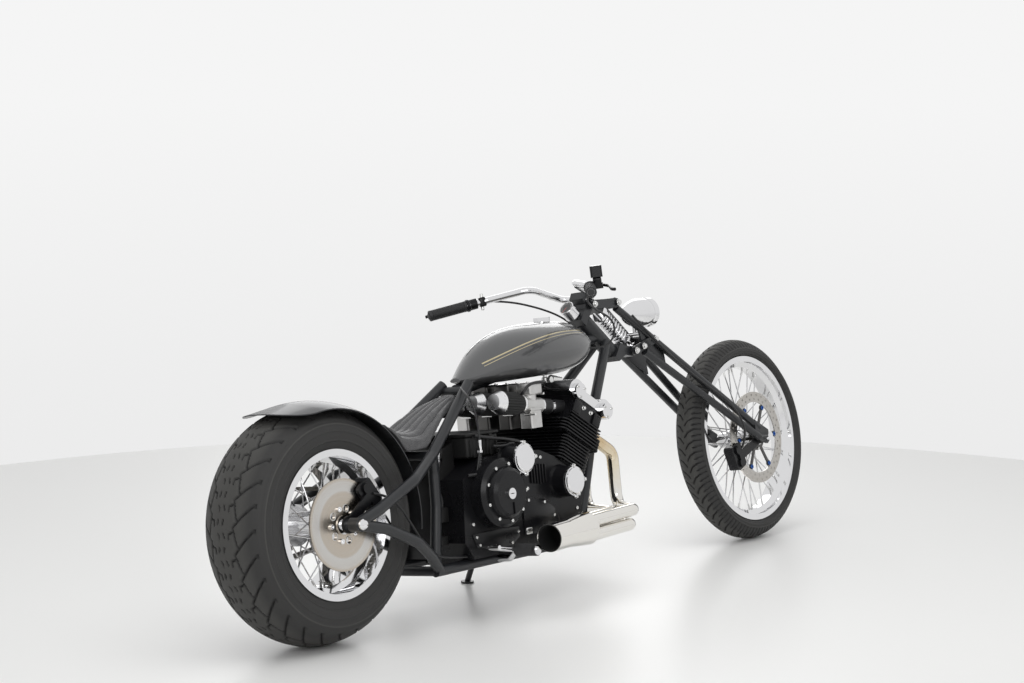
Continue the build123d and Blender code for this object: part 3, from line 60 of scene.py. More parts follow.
# %% [markdown]
# ## One drawing frame for every piece
# A motorcycle is awkward to model while it leans on its stand. The pieces below are therefore drawn
# upright, in metres, with X forward from the rear axle, Y to the left and Z up from the road.
# One matrix then parks them. The bars and the front wheel get a second turn about the steering head.

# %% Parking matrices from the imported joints
LEAN, STEER, PITCH = math.radians(7.25), math.radians(3.2), math.radians(0.0302)
REAR_R, FRONT_R, WHEELBASE = 0.330, 0.340, 2.081
REAR_RIM, FRONT_RIM = 0.206, 0.280
joints = {joint["name"]: joint for joint in frame["joints"]}
rear_pos = Vector(joints["rear_wheel_spin"]["pos_m"])
head_pos = Vector(joints["steering_turn"]["pos_m"])
head_axis = Vector(joints["steering_turn"]["axis"])

lean = Matrix.Rotation(PITCH, 4, "Y") @ Matrix.Rotation(-LEAN, 4, "X")
PARKED = Matrix.Translation(rear_pos - lean @ Vector((0, 0, REAR_R))) @ lean
turn = Matrix.Rotation(STEER, 4, head_axis)
STEERED = Matrix.Translation(head_pos) @ turn @ Matrix.Translation(-head_pos) @ PARKED
REAR_AXLE = Vector((0, 0, REAR_R))
FRONT_AXLE = Vector((WHEELBASE, 0, FRONT_R))
print("front axle parks at", STEERED @ FRONT_AXLE, "joint", joints["front_wheel_spin"]["pos_m"])

PLACES = {
    "frame": PARKED,
    "rear_wheel": PARKED,
    "side_stand": PARKED,
    "steering": STEERED,
    "front_wheel": STEERED,
}

# %% [markdown]
# ## Camera
# The photograph was taken from the right rear with a long lens. Its position and angles come from
# fitting both tyre outlines, so the render can be laid over the photograph.

# %% Place the camera
FOCAL_PIXELS, PHOTO_WIDTH, SENSOR = 2307.3, 1024, 36.0
YAW, TILT = math.radians(40.177), math.radians(-5.864)
FROM_REAR_AXLE = Vector((-4.4049, -4.4420, 1.1456))
camera_data = bpy.data.cameras.new("viewpoint")
camera = bpy.data.objects.new("viewpoint", camera_data)
bpy.context.scene.collection.objects.link(camera)
camera_data.sensor_fit = "HORIZONTAL"
camera_data.sensor_width = SENSOR
camera_data.lens = SENSOR * FOCAL_PIXELS / PHOTO_WIDTH
camera_data.clip_end = 60
camera.location = rear_pos + FROM_REAR_AXLE
aim = Vector((math.cos(YAW) * math.cos(TILT), math.sin(YAW) * math.cos(TILT), math.sin(TILT)))
camera.rotation_euler = aim.to_track_quat("-Z", "Y").to_euler()
bpy.context.scene.camera = camera
bpy.context.scene.view_settings.view_transform = "Standard"
print("lens", round(camera_data.lens, 2))

# %% [markdown]
# ## Shader sums
# Node trees get long when every plus and times is a node wired by hand. One small class wraps a
# socket, so that an ordinary Python sum adds its Math nodes. A second class makes any other node
# from its type, its settings and its sockets.

# %% Flow wraps a socket, Finish builds a material


class Flow:
    """A socket that takes part in ordinary sums."""

    def __init__(self, finish, socket):
        self.finish, self.socket = finish, socket

    def __add__(self, other):
        return self.finish.maths("ADD", self, other)

    def __sub__(self, other):
        return self.finish.maths("SUBTRACT", self, other)

    def __mul__(self, other):
        return self.finish.maths("MULTIPLY", self, other)

    def __truediv__(self, other):
        return self.finish.maths("DIVIDE", self, other)

    def __radd__(self, other):
        return self.finish.maths("ADD", other, self)

    def __rsub__(self, other):
        return self.finish.maths("SUBTRACT", other, self)

    def __rmul__(self, other):
        return self.finish.maths("MULTIPLY", other, self)

    def __gt__(self, other):
        return self.finish.maths("GREATER_THAN", self, other)

    def __lt__(self, other):
        return self.finish.maths("LESS_THAN", self, other)


class Finish:
    """The node tree of a new material, or of a world that is given."""

    def __init__(self, name, owner=None):
        self.material = bpy.data.materials.new(name) if owner is None else owner
        self.material.use_nodes = True
        self.tree = self.material.node_tree
        self.tree.nodes.clear()

    def node(self, kind, settings, sockets, output=0):
        made = self.tree.nodes.new(kind)
        for key, value in settings.items():
            if key == "stops":
                ramp = made.color_ramp
                while len(ramp.elements) < len(value):
                    ramp.elements.new(0.5)
                for element, (place, shade) in zip(ramp.elements, value):
                    element.position = place
                    element.color = (*shade, 1) if isinstance(shade, tuple) else (shade, shade, shade, 1)
            else:
                setattr(made, key, value)
        for key, value in sockets.items():
            if isinstance(value, Flow):
                self.tree.links.new(value.socket, made.inputs[key])
            else:
                made.inputs[key].default_value = value
        return Flow(self, made.outputs[output]) if len(made.outputs) else None

    def maths(self, operation, *values):
        return self.node("ShaderNodeMath", {"operation": operation}, dict(enumerate(values)))

    def place(self, matrix=None):
        """Object coordinates, or the same turned back into a drawing frame by its matrix."""
        spot = self.node("ShaderNodeTexCoord", {}, {}, "Object")
        if matrix is None:
            return spot
        back = matrix.inverted()
        settings = {"vector_type": "POINT"}
        sockets = {"Vector": spot, "Location": back.to_translation(), "Rotation": back.to_euler()}
        return self.node("ShaderNodeMapping", settings, sockets)

    def parts(self, vector):
        outputs = self.node("ShaderNodeSeparateXYZ", {}, {0: vector}).socket.node.outputs
        return [Flow(self, outputs[index]) for index in range(3)]

    def from_axle(self, spot, centre):
        """Distance from a wheel's axle, for rings on discs and tyres."""
        x, _, z = self.parts(spot)
        far_x, far_z = x - centre.x, z - centre.z
        return self.maths("SQRT", far_x * far_x + far_z * far_z)

    def noise(self, vector, scale, detail=3.0, roughness=0.5):
        sockets = {"Vector": vector, "Scale": scale, "Detail": detail, "Roughness": roughness}
        return self.node("ShaderNodeTexNoise", {"noise_dimensions": "3D"}, sockets)

    def ramp(self, factor, stops):
        return self.node("ShaderNodeValToRGB", {"stops": stops}, {0: factor})

    def mix(self, factor, first, second):
        sockets = {0: factor, 6: first, 7: second}
        return self.node("ShaderNodeMix", {"data_type": "RGBA"}, sockets, 2)

    def bump(self, height, strength, distance):
        sockets = {"Height": height, "Strength": strength, "Distance": distance}
        return self.node("ShaderNodeBump", {}, sockets)

    def surface(self, **sockets):
        titles = {key: key.replace("_", " ").title().replace("Ior", "IOR") for key in sockets}
        named = {titles[key]: value for key, value in sockets.items()}
        shader = self.node("ShaderNodeBsdfPrincipled", {}, named)
        self.node("ShaderNodeOutputMaterial", {}, {"Surface": shader})
        return self.material


def rgb(red, green, blue):
    return (red, green, blue, 1.0)


def tinted(shade, factor):
    return rgb(*[part * factor for part in shade])


# %% [markdown]
# ## Studio
# The photograph is a bright white booth. A pale floor catches the shadow, a soft lamp hangs overhead,
# and the world is a little brighter to eyes, metal and glass than to the light it gives, so that chrome
# shows a white room without bleaching the paint.

# %% Floor and lamps
FLOOR_RADIUS, FLOOR_DROP = 3.2, 0.0005
bpy.ops.object.select_all(action="DESELECT")
bpy.ops.mesh.primitive_circle_add(
    vertices=192, radius=FLOOR_RADIUS, fill_type="NGON", location=(0, 0, -FLOOR_DROP)
)
floor = bpy.context.object
floor.name = "studio_floor"
floor_finish = Finish("pale_floor")
spots = floor_finish.noise(floor_finish.place(), 0.35, 2.0)
floor_colour = floor_finish.mix(spots, rgb(0.80, 0.80, 0.79), rgb(0.84, 0.84, 0.83))
pale_floor = floor_finish.surface(base_color=floor_colour, roughness=0.35, specular_ior_level=0.3)
floor.data.materials.append(pale_floor)

LIT_SPOT = Vector((0, 0, 0.4))
for name, place, size, power in (
    ("overhead_box", (-0.6, -0.8, 4.2), 4.5, 105),
    ("rear_right_box", (-4.2, -4.6, 3.2), 3.0, 70),
    ("front_left_box", (4.0, 3.6, 2.6), 3.0, 50),
):
    light_data = bpy.data.lights.new(name, "AREA")
    light_data.shape, light_data.size, light_data.energy = "SQUARE", size, power
    lamp = bpy.data.objects.new(name, light_data)
    bpy.context.scene.collection.objects.link(lamp)
    lamp.location = place
    lamp.visible_glossy = name != "overhead_box"
    lamp.rotation_euler = (LIT_SPOT - Vector(place)).to_track_quat("-Z", "Y").to_euler()
    print(name, power, "W")

# %% World
PLAIN_LIGHT, FOR_EYES, FOR_METAL = 0.52, 0.42, 0.30
world = bpy.data.worlds.new("white_booth")
bpy.context.scene.world = world
booth = Finish("white_booth", world)
rays = booth.node("ShaderNodeLightPath", {}, {}).socket.node.outputs
eyes, gloss, clearness = (
    Flow(booth, rays[name]) for name in ("Is Camera Ray", "Is Glossy Ray", "Is Transmission Ray")
)
height = booth.parts(booth.node("ShaderNodeTexCoord", {}, {}, "Generated"))[2]
booth_light = booth.ramp(height * 0.5 + 0.5, [(0.0, 0.60), (0.44, 0.90), (0.50, 0.97), (1.0, 1.0)])
strength = eyes * FOR_EYES + (gloss + clearness) * FOR_METAL + PLAIN_LIGHT
backdrop = booth.node("ShaderNodeBackground", {}, {"Color": booth_light, "Strength": strength})
booth.node("ShaderNodeOutputWorld", {}, {"Surface": backdrop})
print("world light", PLAIN_LIGHT, "seen as", PLAIN_LIGHT + FOR_EYES)

# %% [markdown]
# ## Finishes
# Five finishes cover most of the machine: satin frame paint, gloss body paint, engine enamel, chrome
# and bare alloy. Each has the small unevenness of the real one, at its real size.

# %% Paints


def powder_coat(name, shade, rough, gloss=0.5):
    """Satin powder coat: a fine orange peel and slightly uneven sheen."""
    paint = Finish(name)
    spot = paint.place()
    cloud = paint.noise(spot, 9.0, 4.0)
    peel = paint.noise(spot, 900.0, 2.0)
    colour = paint.mix(cloud, tinted(shade, 0.8), tinted(shade, 1.3))
    normal = paint.bump(peel, 0.08, 0.0006)
    rough_now = cloud * 0.16 + (rough - 0.08)
    return paint.surface(base_color=colour, roughness=rough_now, specular_ior_level=gloss, normal=normal)


def sprayed(paint, dark, pale, rough):
    """Metallic flake, and the faint clouds that spraying leaves in the gloss."""
    spot = paint.place()
    flake = paint.noise(spot, 2600.0, 1.0)
    cloud = paint.noise(spot, 5.0, 2.0)
    return paint.mix(flake, rgb(*dark), rgb(*pale)), cloud * 0.08 + rough


def fender_paint():
    """Dark metallic body colour under thin clear lacquer."""
    paint = Finish("tank_lacquer")
    colour, rough = sprayed(paint, (0.026, 0.027, 0.030), (0.060, 0.061, 0.064), 0.34)
    coat = {"specular_ior_level": 0.3, "coat_weight": 0.25, "coat_roughness": 0.06}
    return paint.surface(base_color=colour, roughness=rough, metallic=0.3, **coat)


LINES_FROM, LINES_TO = 0.72, 1.15


def tank_paint():
    """A deeper lacquer with a pair of pale gold lines along each shoulder of the tank."""
    paint = Finish("tank_lacquer_lined")
    colour, rough = sprayed(paint, (0.060, 0.061, 0.063), (0.110, 0.111, 0.113), 0.30)
    x, _, z = paint.parts(paint.place(PARKED))
    far = x - 0.80
    line = z - (far * 0.30 - far * far * 0.55 + 0.738)
    broad = paint.maths("COMPARE", line, 0.0, 0.0016)
    fine = paint.maths("COMPARE", line, -0.008, 0.0008)
    gold = (broad + fine) * (x > LINES_FROM) * (x < LINES_TO)
    lined = paint.mix(gold, colour, rgb(0.50, 0.43, 0.26))
    coat = {"coat_weight": 1.0, "coat_roughness": 0.02}
    return paint.surface(base_color=lined, roughness=rough, metallic=0.5, **coat)


frame_paint = powder_coat("frame_powder_coat", (0.017, 0.018, 0.020), 0.33)
engine_paint = powder_coat("engine_enamel", (0.006, 0.006, 0.007), 0.28, 0.28)
dull_paint = powder_coat("dull_plastic", (0.008, 0.008, 0.008), 0.5, 0.3)
lacquer = fender_paint()
lined_lacquer = tank_paint()
print("with paints:", len(bpy.data.materials), "materials")

# %% Metals


def bright_metal(name, shade, rough, smear=0.05):
    """Polished metal with faint smears in its gloss."""
    metal = Finish(name)
    smears = metal.noise(metal.place(), 14.0, 5.0, 0.65)
    tone = metal.mix(smears, tinted(shade, 0.94), rgb(*shade))
    return metal.surface(base_color=tone, metallic=1.0, roughness=smears * smear + rough)


INNER_CARBURETTORS = 0.085


def cast_alloy():
    """Blasted carburettor castings: pale and grainy, with painted shade on the inner ones."""
    metal = Finish("cast_alloy")
    spot = metal.place()
    _, y, _ = metal.parts(metal.place(PARKED))
    grain = metal.noise(spot, 700.0, 3.0)
    grime = metal.noise(spot, 24.0, 4.0)
    clean = metal.mix(grime, rgb(0.50, 0.49, 0.47), rgb(0.74, 0.74, 0.74))
    # Painted shade: within 85 mm of the middle plane, where the inner carburettors sit, this alloy is
    # darkened to near black.
    inner = (y > -INNER_CARBURETTORS) * (y < INNER_CARBURETTORS) * 0.88
    tone = metal.mix(inner, clean, rgb(0.045, 0.043, 0.041))
    normal = metal.bump(grain, 0.25, 0.0005)
    return metal.surface(base_color=tone, metallic=0.9, roughness=grime * 0.25 + 0.22, normal=normal)


def heated_chrome():
    """Exhaust chrome that has gone straw and brown near the cylinder head."""
    metal = Finish("heated_chrome")
    spot = metal.place(PARKED)
    _, _, up = metal.parts(spot)
    smears = metal.noise(spot, 18.0, 4.0, 0.6)
    heat = (up - 0.26) * 4.0 + (smears - 0.5) * 0.5
    clean, straw, brown, blue_grey = (
        (0.86, 0.84, 0.80), (0.84, 0.76, 0.60), (0.66, 0.50, 0.30), (0.42, 0.33, 0.30)
    )
    tone = metal.ramp(heat, [(0.0, clean), (0.4, straw), (0.75, brown), (1.0, blue_grey)])
    return metal.surface(base_color=tone, metallic=1.0, roughness=smears * 0.06 + 0.04)


def turned_steel(name, centre, matrix, shade, warm):
    """Disc steel with the fine rings and warm stain that the pads leave."""
    metal = Finish(name)
    radius = metal.from_axle(metal.place(matrix), centre)
    ring = metal.node("ShaderNodeCombineXYZ", {}, {0: radius, 1: 0.0, 2: 0.0})
    fine = metal.noise(ring, 900.0, 2.0)
    broad = metal.noise(ring, 60.0, 2.0)
    pad_track = [(0.0, 0.0), (0.52, 0.15), (0.56, 1.0), (0.70, 0.75), (0.745, 0.1), (1.0, 0.0)]
    worn = metal.ramp(radius * 6.0, pad_track)
    stain = metal.mix(broad, rgb(*shade), rgb(*[part * w for part, w in zip(shade, warm)]))
    track = metal.mix(worn, stain, rgb(0.74, 0.73, 0.71))
    tone = metal.mix(fine * 0.45, track, rgb(0.30, 0.28, 0.26))
    normal = metal.bump(fine, 0.1, 0.0004)
    return metal.surface(base_color=tone, metallic=1.0, roughness=fine * 0.16 + 0.17, normal=normal)


chrome = bright_metal("chrome", (0.86, 0.86, 0.87), 0.03)
end_cap_metal = bright_metal("satin_end_caps", (0.92, 0.92, 0.93), 0.24, 0.08)
stainless = bright_metal("stainless_spokes", (0.74, 0.74, 0.75), 0.14)
chain_steel = bright_metal("oiled_chain", (0.24, 0.23, 0.21), 0.32, 0.2)
zinc = bright_metal("zinc_bolts", (0.80, 0.80, 0.79), 0.16, 0.12)
blue = bright_metal("blue_anodised", (0.05, 0.14, 0.42), 0.2, 0.1)
alloy = cast_alloy()
exhaust_metal = heated_chrome()
rear_disc_steel = turned_steel(
    "rear_disc_steel", REAR_AXLE, PARKED, (0.60, 0.58, 0.54), (1.06, 0.88, 0.68)
)
front_disc_steel = turned_steel(
    "front_disc_steel", FRONT_AXLE, STEERED, (0.60, 0.59, 0.57), (0.92, 0.88, 0.82)
)
print("with metals:", len(bpy.data.materials), "materials")

# %% Rubber, leather, cloth and glass


def tyre_rubber(name, centre, matrix, rim_radius, tyre_radius, ring):
    """Tyre rubber: grey scuffs on the tread, a painted highlight on one raised wall ring, a darker wall and
    painted shade in the grooves.
    """
    rubber = Finish(name)
    spot = rubber.place(matrix)
    from_rim = rubber.from_axle(spot, centre) - rim_radius
    dust = rubber.noise(spot, 30.0, 5.0, 0.6)
    grain = rubber.noise(spot, 1100.0, 2.0)
    groove = rubber.node("ShaderNodeAttribute", {"attribute_name": "groove"}, {}, "Fac")
    wall = rubber.mix(dust, rgb(0.017, 0.017, 0.017), rgb(0.032, 0.031, 0.030))
    # Painted highlight: a lighter band on the wall where its first raised ring stands.
    ring_highlight = [(ring - 0.018, 0.0), (ring - 0.010, 0.8), (ring + 0.010, 0.8), (ring + 0.018, 0.0)]
    stops = [(0.0, 0.0), *ring_highlight, (0.80, 0.0), (0.90, 0.9), (1.0, 1.0)]
    crown = rubber.ramp(from_rim / (tyre_radius - rim_radius), stops)
    # The tread's grey is real scuffing; the band on the wall ring is painted highlight.
    scuff_and_ring_highlight = rubber.mix(crown, wall, rgb(0.050, 0.049, 0.046))
    # Painted shade: near-black rubber inside the pressed grooves.
    colour = rubber.mix(groove, scuff_and_ring_highlight, rgb(0.006, 0.006, 0.006))
    ripple = rubber.maths("SINE", from_rim * 900.0)
    normal = rubber.bump(grain * 0.4 + ripple * 0.12, 0.2, 0.0012)
    return rubber.surface(base_color=colour, roughness=dust * 0.18 + 0.55, normal=normal)


def moulded_rubber(name, shade, rough):
    rubber = Finish(name)
    spot = rubber.place()
    grain = rubber.noise(spot, 1400.0, 2.0)
    dust = rubber.noise(spot, 40.0, 3.0)
    colour = rubber.mix(dust, tinted(shade, 0.8), tinted(shade, 1.25))
    normal = rubber.bump(grain, 0.2, 0.0004)
    return rubber.surface(base_color=colour, roughness=dust * 0.15 + rough, normal=normal)


def saddle_leather():
    """Black hide: rounded pebbles between fine creases, lifted to grey by a painted sheen that is palest on
    the pebble tops.
    """
    hide = Finish("saddle_leather")
    spot = hide.place()
    sockets = {"Vector": spot, "Scale": 420.0, "Randomness": 0.9}
    pebble = hide.node("ShaderNodeTexVoronoi", {"feature": "DISTANCE_TO_EDGE"}, sockets)
    crease = hide.maths("SMOOTH_MIN", pebble * 6.0, 1.0, 0.3)
    wear = hide.noise(spot, 16.0, 4.0)
    # Painted sheen: the grain is real, but the black hide's colour is lifted to dark grey in the creases and
    # mid grey on the pebbles.
    colour = hide.mix(crease, rgb(0.026, 0.026, 0.027), rgb(0.105, 0.105, 0.108))
    normal = hide.bump(crease, 0.35, 0.0007)
    return hide.surface(base_color=colour, roughness=wear * 0.2 + 0.32, normal=normal)


def rippled_glass():
    clear = Finish("headlight_glass")
    normal = clear.bump(clear.noise(clear.place(), 160.0, 1.0), 0.3, 0.002)
    clearness = {"roughness": 0.03, "transmission_weight": 1.0, "ior": 1.45}
    return clear.surface(base_color=rgb(0.95, 0.97, 1.0), normal=normal, **clearness)


rear_rubber = tyre_rubber("rear_tyre_rubber", REAR_AXLE, PARKED, REAR_RIM, REAR_R, 0.553)
front_rubber = tyre_rubber("front_tyre_rubber", FRONT_AXLE, STEERED, FRONT_RIM, FRONT_R, 0.425)
grip_rubber = moulded_rubber("grip_rubber", (0.022, 0.022, 0.023), 0.5)
hose_rubber = moulded_rubber("hose_rubber", (0.014, 0.014, 0.015), 0.35)
cloth = moulded_rubber("filter_cloth", (0.020, 0.020, 0.020), 0.75)
soot = moulded_rubber("soot", (0.004, 0.004, 0.004), 0.85)
leather = saddle_leather()
glass = rippled_glass()
print("with rubber and leather:", len(bpy.data.materials), "materials")

# %% Dress the CAD nodes that stay
WEARS = {
    frame_paint: "frame_spine seat_stays rear_posts lower_stays lower_rails downtubes cross_tubes axle_lugs "
    "lower_yoke upper_yoke fork_links girder_legs girder_bosses side_stand",
    engine_paint: "crankcase side_covers barrels cylinder_head rear_caliper front_caliper brake_control "
    "clutch_control",
    chrome: "rear_axle chrome_caps cam_cover fuel_cap rear_rim fork_shock fork_spring front_axle handlebar "
    "headlight_shell speedometer front_rim foot_controls",
    end_cap_metal: "filter_ends",
    stainless: "rear_hub front_hub",
    exhaust_metal: "exhaust_headers collector",
    lacquer: "rear_fender",
    lined_lacquer: "fuel_tank",
    alloy: "carburettors front_carrier",
    hose_rubber: "intake_boots",
    cloth: "filter_pleats",
    dull_paint: "battery_box",
    chain_steel: "chain drive_sprocket rear_sprocket",
    rear_disc_steel: "rear_disc",
    front_disc_steel: "front_disc",
    rear_rubber: "rear_tyre",
    front_rubber: "front_tyre",
    grip_rubber: "grips",
    leather: "seat",
    glass: "headlight_lens",
}
dressed = 0
for finish, names in WEARS.items():
    for name in names.split():
        mesh = nodes[name].data
        mesh.materials.clear()
        mesh.materials.append(finish)
        dressed += 1
print("dressed", dressed, "of", len(nodes))

# %% [markdown]
# ## Making and parking new pieces
# Every new piece starts as a primitive. A few helpers do the common work: one spins an outline about an
# axle, one sweeps a round cable along a smooth curve, one repeats a finished shape, and one parks the
# result, gives it its finish and lets it ride.

# %% Selecting, editing and copying
RIGHT, LEFT, UP, DOWN = (0, -1, 0), (0, 1, 0), (0, 0, 1), (0, 0, -1)


def mm(x, y, z):
    return Vector((x, y, z)) / 1000


def clear_selection():
    if bpy.context.object and bpy.context.object.mode != "OBJECT":
        bpy.ops.object.mode_set(mode="OBJECT")
    bpy.ops.object.select_all(action="DESELECT")


def only(piece):
    clear_selection()
    piece.select_set(True)
    bpy.context.view_layer.objects.active = piece


@contextmanager
def editing():
    """Edit mode with the whole piece selected, and back again."""
    bpy.ops.object.mode_set(mode="EDIT")
    bpy.ops.mesh.select_all(action="SELECT")
    yield
    bpy.ops.object.mode_set(mode="OBJECT")


def applied(piece):
    only(piece)
    bpy.ops.object.transform_apply(location=True, rotation=True, scale=True)
    return piece


def modified(piece, kind, **settings):
    """Add a modifier, set it and apply it."""
    only(piece)
    bpy.ops.object.modifier_add(type=kind)
    for key, value in settings.items():
        setattr(piece.modifiers[-1], key, value)
    bpy.ops.object.modifier_apply(modifier=piece.modifiers[-1].name)
    return piece


def coordinates(piece):
    co = np.empty(len(piece.data.vertices) * 3)
    piece.data.vertices.foreach_get("co", co)
    return co.reshape(-1, 3)


def set_coordinates(piece, co):
    piece.data.vertices.foreach_set("co", co.ravel())
    piece.data.update()


def twin_of(piece, matrix):
    """A moved copy with its own mesh."""
    twin = piece.copy()
    twin.data = piece.data.copy()
    bpy.context.scene.collection.objects.link(twin)
    twin.matrix_world = matrix @ piece.matrix_world
    return twin


def joined(pieces):
    clear_selection()
    for piece in pieces:
        piece.select_set(True)
    bpy.context.view_layer.objects.active = pieces[0]
    bpy.ops.object.join()
    return applied(bpy.context.object)


def repeated(piece, matrices):
    """Repeat a piece, each copy with its own mesh, and join the copies."""
    twins = [twin_of(piece, matrix) for matrix in matrices]
    bpy.data.objects.remove(piece)
    return joined(twins)


def mirrored(piece):
    """The piece and its twin across the machine's middle plane."""
    twin = applied(twin_of(piece, Matrix.Scale(-1, 4, LEFT)))
    with editing():
        bpy.ops.mesh.flip_normals()
    return joined([piece, twin])


# %% Spinning, sweeping and settling


def along(direction):
    """The turn that lays a piece made along Y onto another direction."""
    return Vector(direction).to_track_quat("Y", "Z").to_matrix().to_4x4()


def seat_at(spot, way):
    """The place of a piece made along Y that stands on a spot and points a way."""
    return Matrix.Translation(spot) @ along(way)


def spun(outline, centre=(0, 0, 0), axis=LEFT, steps=48):
    """Spin a closed outline of (along, out) pairs about an axle."""
    clear_selection()
    bpy.ops.mesh.primitive_circle_add(vertices=len(outline), radius=1, location=(0, 0, 0))
    piece = bpy.context.object
    for vertex, (far, out) in zip(piece.data.vertices, outline):
        vertex.co = (0, far, out)
    with editing():
        bpy.ops.mesh.spin(steps=steps, angle=2 * math.pi, center=(0, 0, 0), axis=LEFT)
        bpy.ops.mesh.select_all(action="SELECT")
        bpy.ops.mesh.remove_doubles(threshold=1e-6)
        bpy.ops.mesh.dissolve_degenerate(threshold=1e-7)
        bpy.ops.mesh.normals_make_consistent(inside=False)
    piece.matrix_world = seat_at(centre, axis)
    return applied(piece)


def smooth_line(points):
    """A smooth curve that starts and ends on its control points."""
    clear_selection()
    curve = bpy.data.curves.new("route", "CURVE")
    curve.dimensions = "3D"
    spline = curve.splines.new("NURBS")
    spline.points.add(len(points) - 1)
    for point, place in zip(spline.points, points):
        point.co = (*place, 1)
    spline.order_u = 3
    spline.use_endpoint_u = True
    spline.resolution_u = 12
    line = bpy.data.objects.new("route", curve)
    bpy.context.scene.collection.objects.link(line)
    return line


def swept(points, radius):
    """A round cable along a smooth curve, made a mesh."""
    line = smooth_line(points)
    line.data.bevel_depth, line.data.bevel_resolution = radius, 4
    line.data.use_fill_caps = True
    only(line)
    bpy.ops.object.convert(target="MESH")
    return bpy.context.object


def parked(piece, place, name, finish, angle):
    """Park a piece, name it and give it its finish."""
    piece.matrix_world = place @ piece.matrix_world
    applied(piece)
    piece.name = piece.data.name = name
    piece.data.materials.clear()
    piece.data.materials.append(finish)
    bpy.ops.object.shade_smooth_by_angle(angle=math.radians(angle))


def settled(piece, name, body, finish, stands_for=(), angle=32):
    """Park a piece and let it ride on its body."""
    parked(piece, PLACES[body], name, finish, angle)
    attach(piece, body)
    if stands_for:
        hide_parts(*stands_for)
    print(name, len(piece.data.polygons), "faces on", body)
    return piece


# %% [markdown]
# ## Tyres
# The rear tyre is the largest thing in the picture. Its casing is spun from the same outline as the CAD
# solid, fine enough to carry real grooves: slanting bolts on each shoulder and short dashes along the
# middle. Boolean cuts would be slow and leave ragged faces, so the grooves are pressed in by moving
# vertices. Their depth is kept as an attribute, so that painted shade can darken the rubber inside them.

# %% Casing outline and grooves
RING_BANDS, RING_HIGH, RING_MOST = ((0.14, 0.20), (0.40, 0.45), (0.70, 0.76)), 0.0022, 0.0018
SHOULDER_SHARE, BEAD_INSET, BEAD_GAP = 0.45, 0.005, 0.0004


def casing(radius, width, crown, rim_radius, rim_width, across, walls):
    """Outline of a tyre: a finely divided crown, two bulging walls with rings, and the bead."""
    shoulder = SHOULDER_SHARE * width
    top = [-shoulder + 2 * shoulder * step / across for step in range(across + 1)]
    outline = [(y, radius - crown + math.sqrt(crown**2 - y**2)) for y in top]
    edge = outline[-1]
    bead = (rim_width / 2 - BEAD_INSET, rim_radius + BEAD_GAP)
    belly = (width / 2, (edge[1] + bead[1]) / 2)
    wall = []
    for step in range(1, walls + 1):
        t = step / walls
        blend = (1 - t) * (1 - 2 * t), 4 * t * (1 - t), t * (2 * t - 1)
        y, r = (sum(b * p[axis] for b, p in zip(blend, (edge, belly, bead))) for axis in (0, 1))
        ring = RING_HIGH if any(low < t < high for low, high in RING_BANDS) else 0.0
        wall.append((min(y + ring, width / 2 + RING_MOST), r))
    return outline + wall + [(-y, r) for y, r in reversed(wall)]


def pressed(piece, centre, radius, repeat, strokes, half_width, depth):
    """Press grooves into a tread. Strokes are lines of (across, round) in metres, one side's worth."""
    co = coordinates(piece)
    local = co - np.array(centre)
    reach = np.hypot(local[:, 0], local[:, 2])
    pitch = 2 * math.pi * radius / repeat
    around = np.arctan2(local[:, 0], local[:, 2]) * radius
    near = np.full(len(co), 1.0)
    for side in (1, -1):
        shift = 0.0 if side > 0 else pitch / 2
        across = local[:, 1] * side
        for stroke in strokes:
            for (u0, s0), (u1, s1) in zip(stroke, stroke[1:]):
                run = np.array([u1 - u0, s1 - s0])
                for lap in (-1, 0, 1, 2):
                    offset = np.mod(around - shift, pitch) - s0 - (lap - 1) * pitch
                    du = across - u0
                    t = np.clip((du * run[0] + offset * run[1]) / (run @ run), 0, 1)
                    near = np.minimum(near, np.hypot(du - t * run[0], offset - t * run[1]))
    sunk = np.clip((half_width - near) / (0.5 * half_width), 0, 1)
    sunk[reach < radius - 0.5 * (radius - reach.min())] = 0
    scale = 1 - sunk * depth / np.maximum(reach, 1e-6)
    co[:, 0] = centre[0] + local[:, 0] * scale
    co[:, 2] = centre[2] + local[:, 2] * scale
    # The groove depth is kept for the tyre rubber, which paints shade inside the grooves with it.
    grooves = piece.data.attributes.new("groove", "FLOAT", "POINT")
    grooves.data.foreach_set("value", sunk.astype(np.float32))
    set_coordinates(piece, co)
    return piece


# %% Rear tyre
rear_outline = casing(
    REAR_R, width=0.230, crown=0.150, rim_radius=REAR_RIM, rim_width=0.216, across=76, walls=26
)
rear_casing = spun(rear_outline, REAR_AXLE, steps=560)
bolts_and_dashes = [
    [(0.044, -0.016), (0.039, 0.0), (0.094, 0.066), (0.094, 0.058)],
    [(0.051, 0.014), (0.041, 0.064), (0.027, 0.058), (0.026, 0.044)],
    [(0.006, 0.010), (0.009, 0.022)],
    [(0.012, 0.048), (0.009, 0.060)],
]
pressed(rear_casing, REAR_AXLE, REAR_R, 28, bolts_and_dashes, half_width=0.0034, depth=0.006)
settled(rear_casing, "rear_tyre_casing", "rear_wheel", rear_rubber, ["rear_tyre"], 50)

# %% Front tyre
front_outline = casing(
    FRONT_R, width=0.104, crown=0.052, rim_radius=FRONT_RIM, rim_width=0.084, across=44, walls=14
)
front_casing = spun(front_outline, FRONT_AXLE, steps=640)
slanting_cuts = [
    [(0.003, 0.0), (0.014, 0.016), (0.030, 0.026), (0.046, 0.028)],
    [(0.026, 0.002), (0.046, 0.008)],
]
pressed(front_casing, FRONT_AXLE, FRONT_R, 54, slanting_cuts, half_width=0.0028, depth=0.005)
settled(front_casing, "front_tyre_casing", "front_wheel", front_rubber, ["front_tyre"], 50)

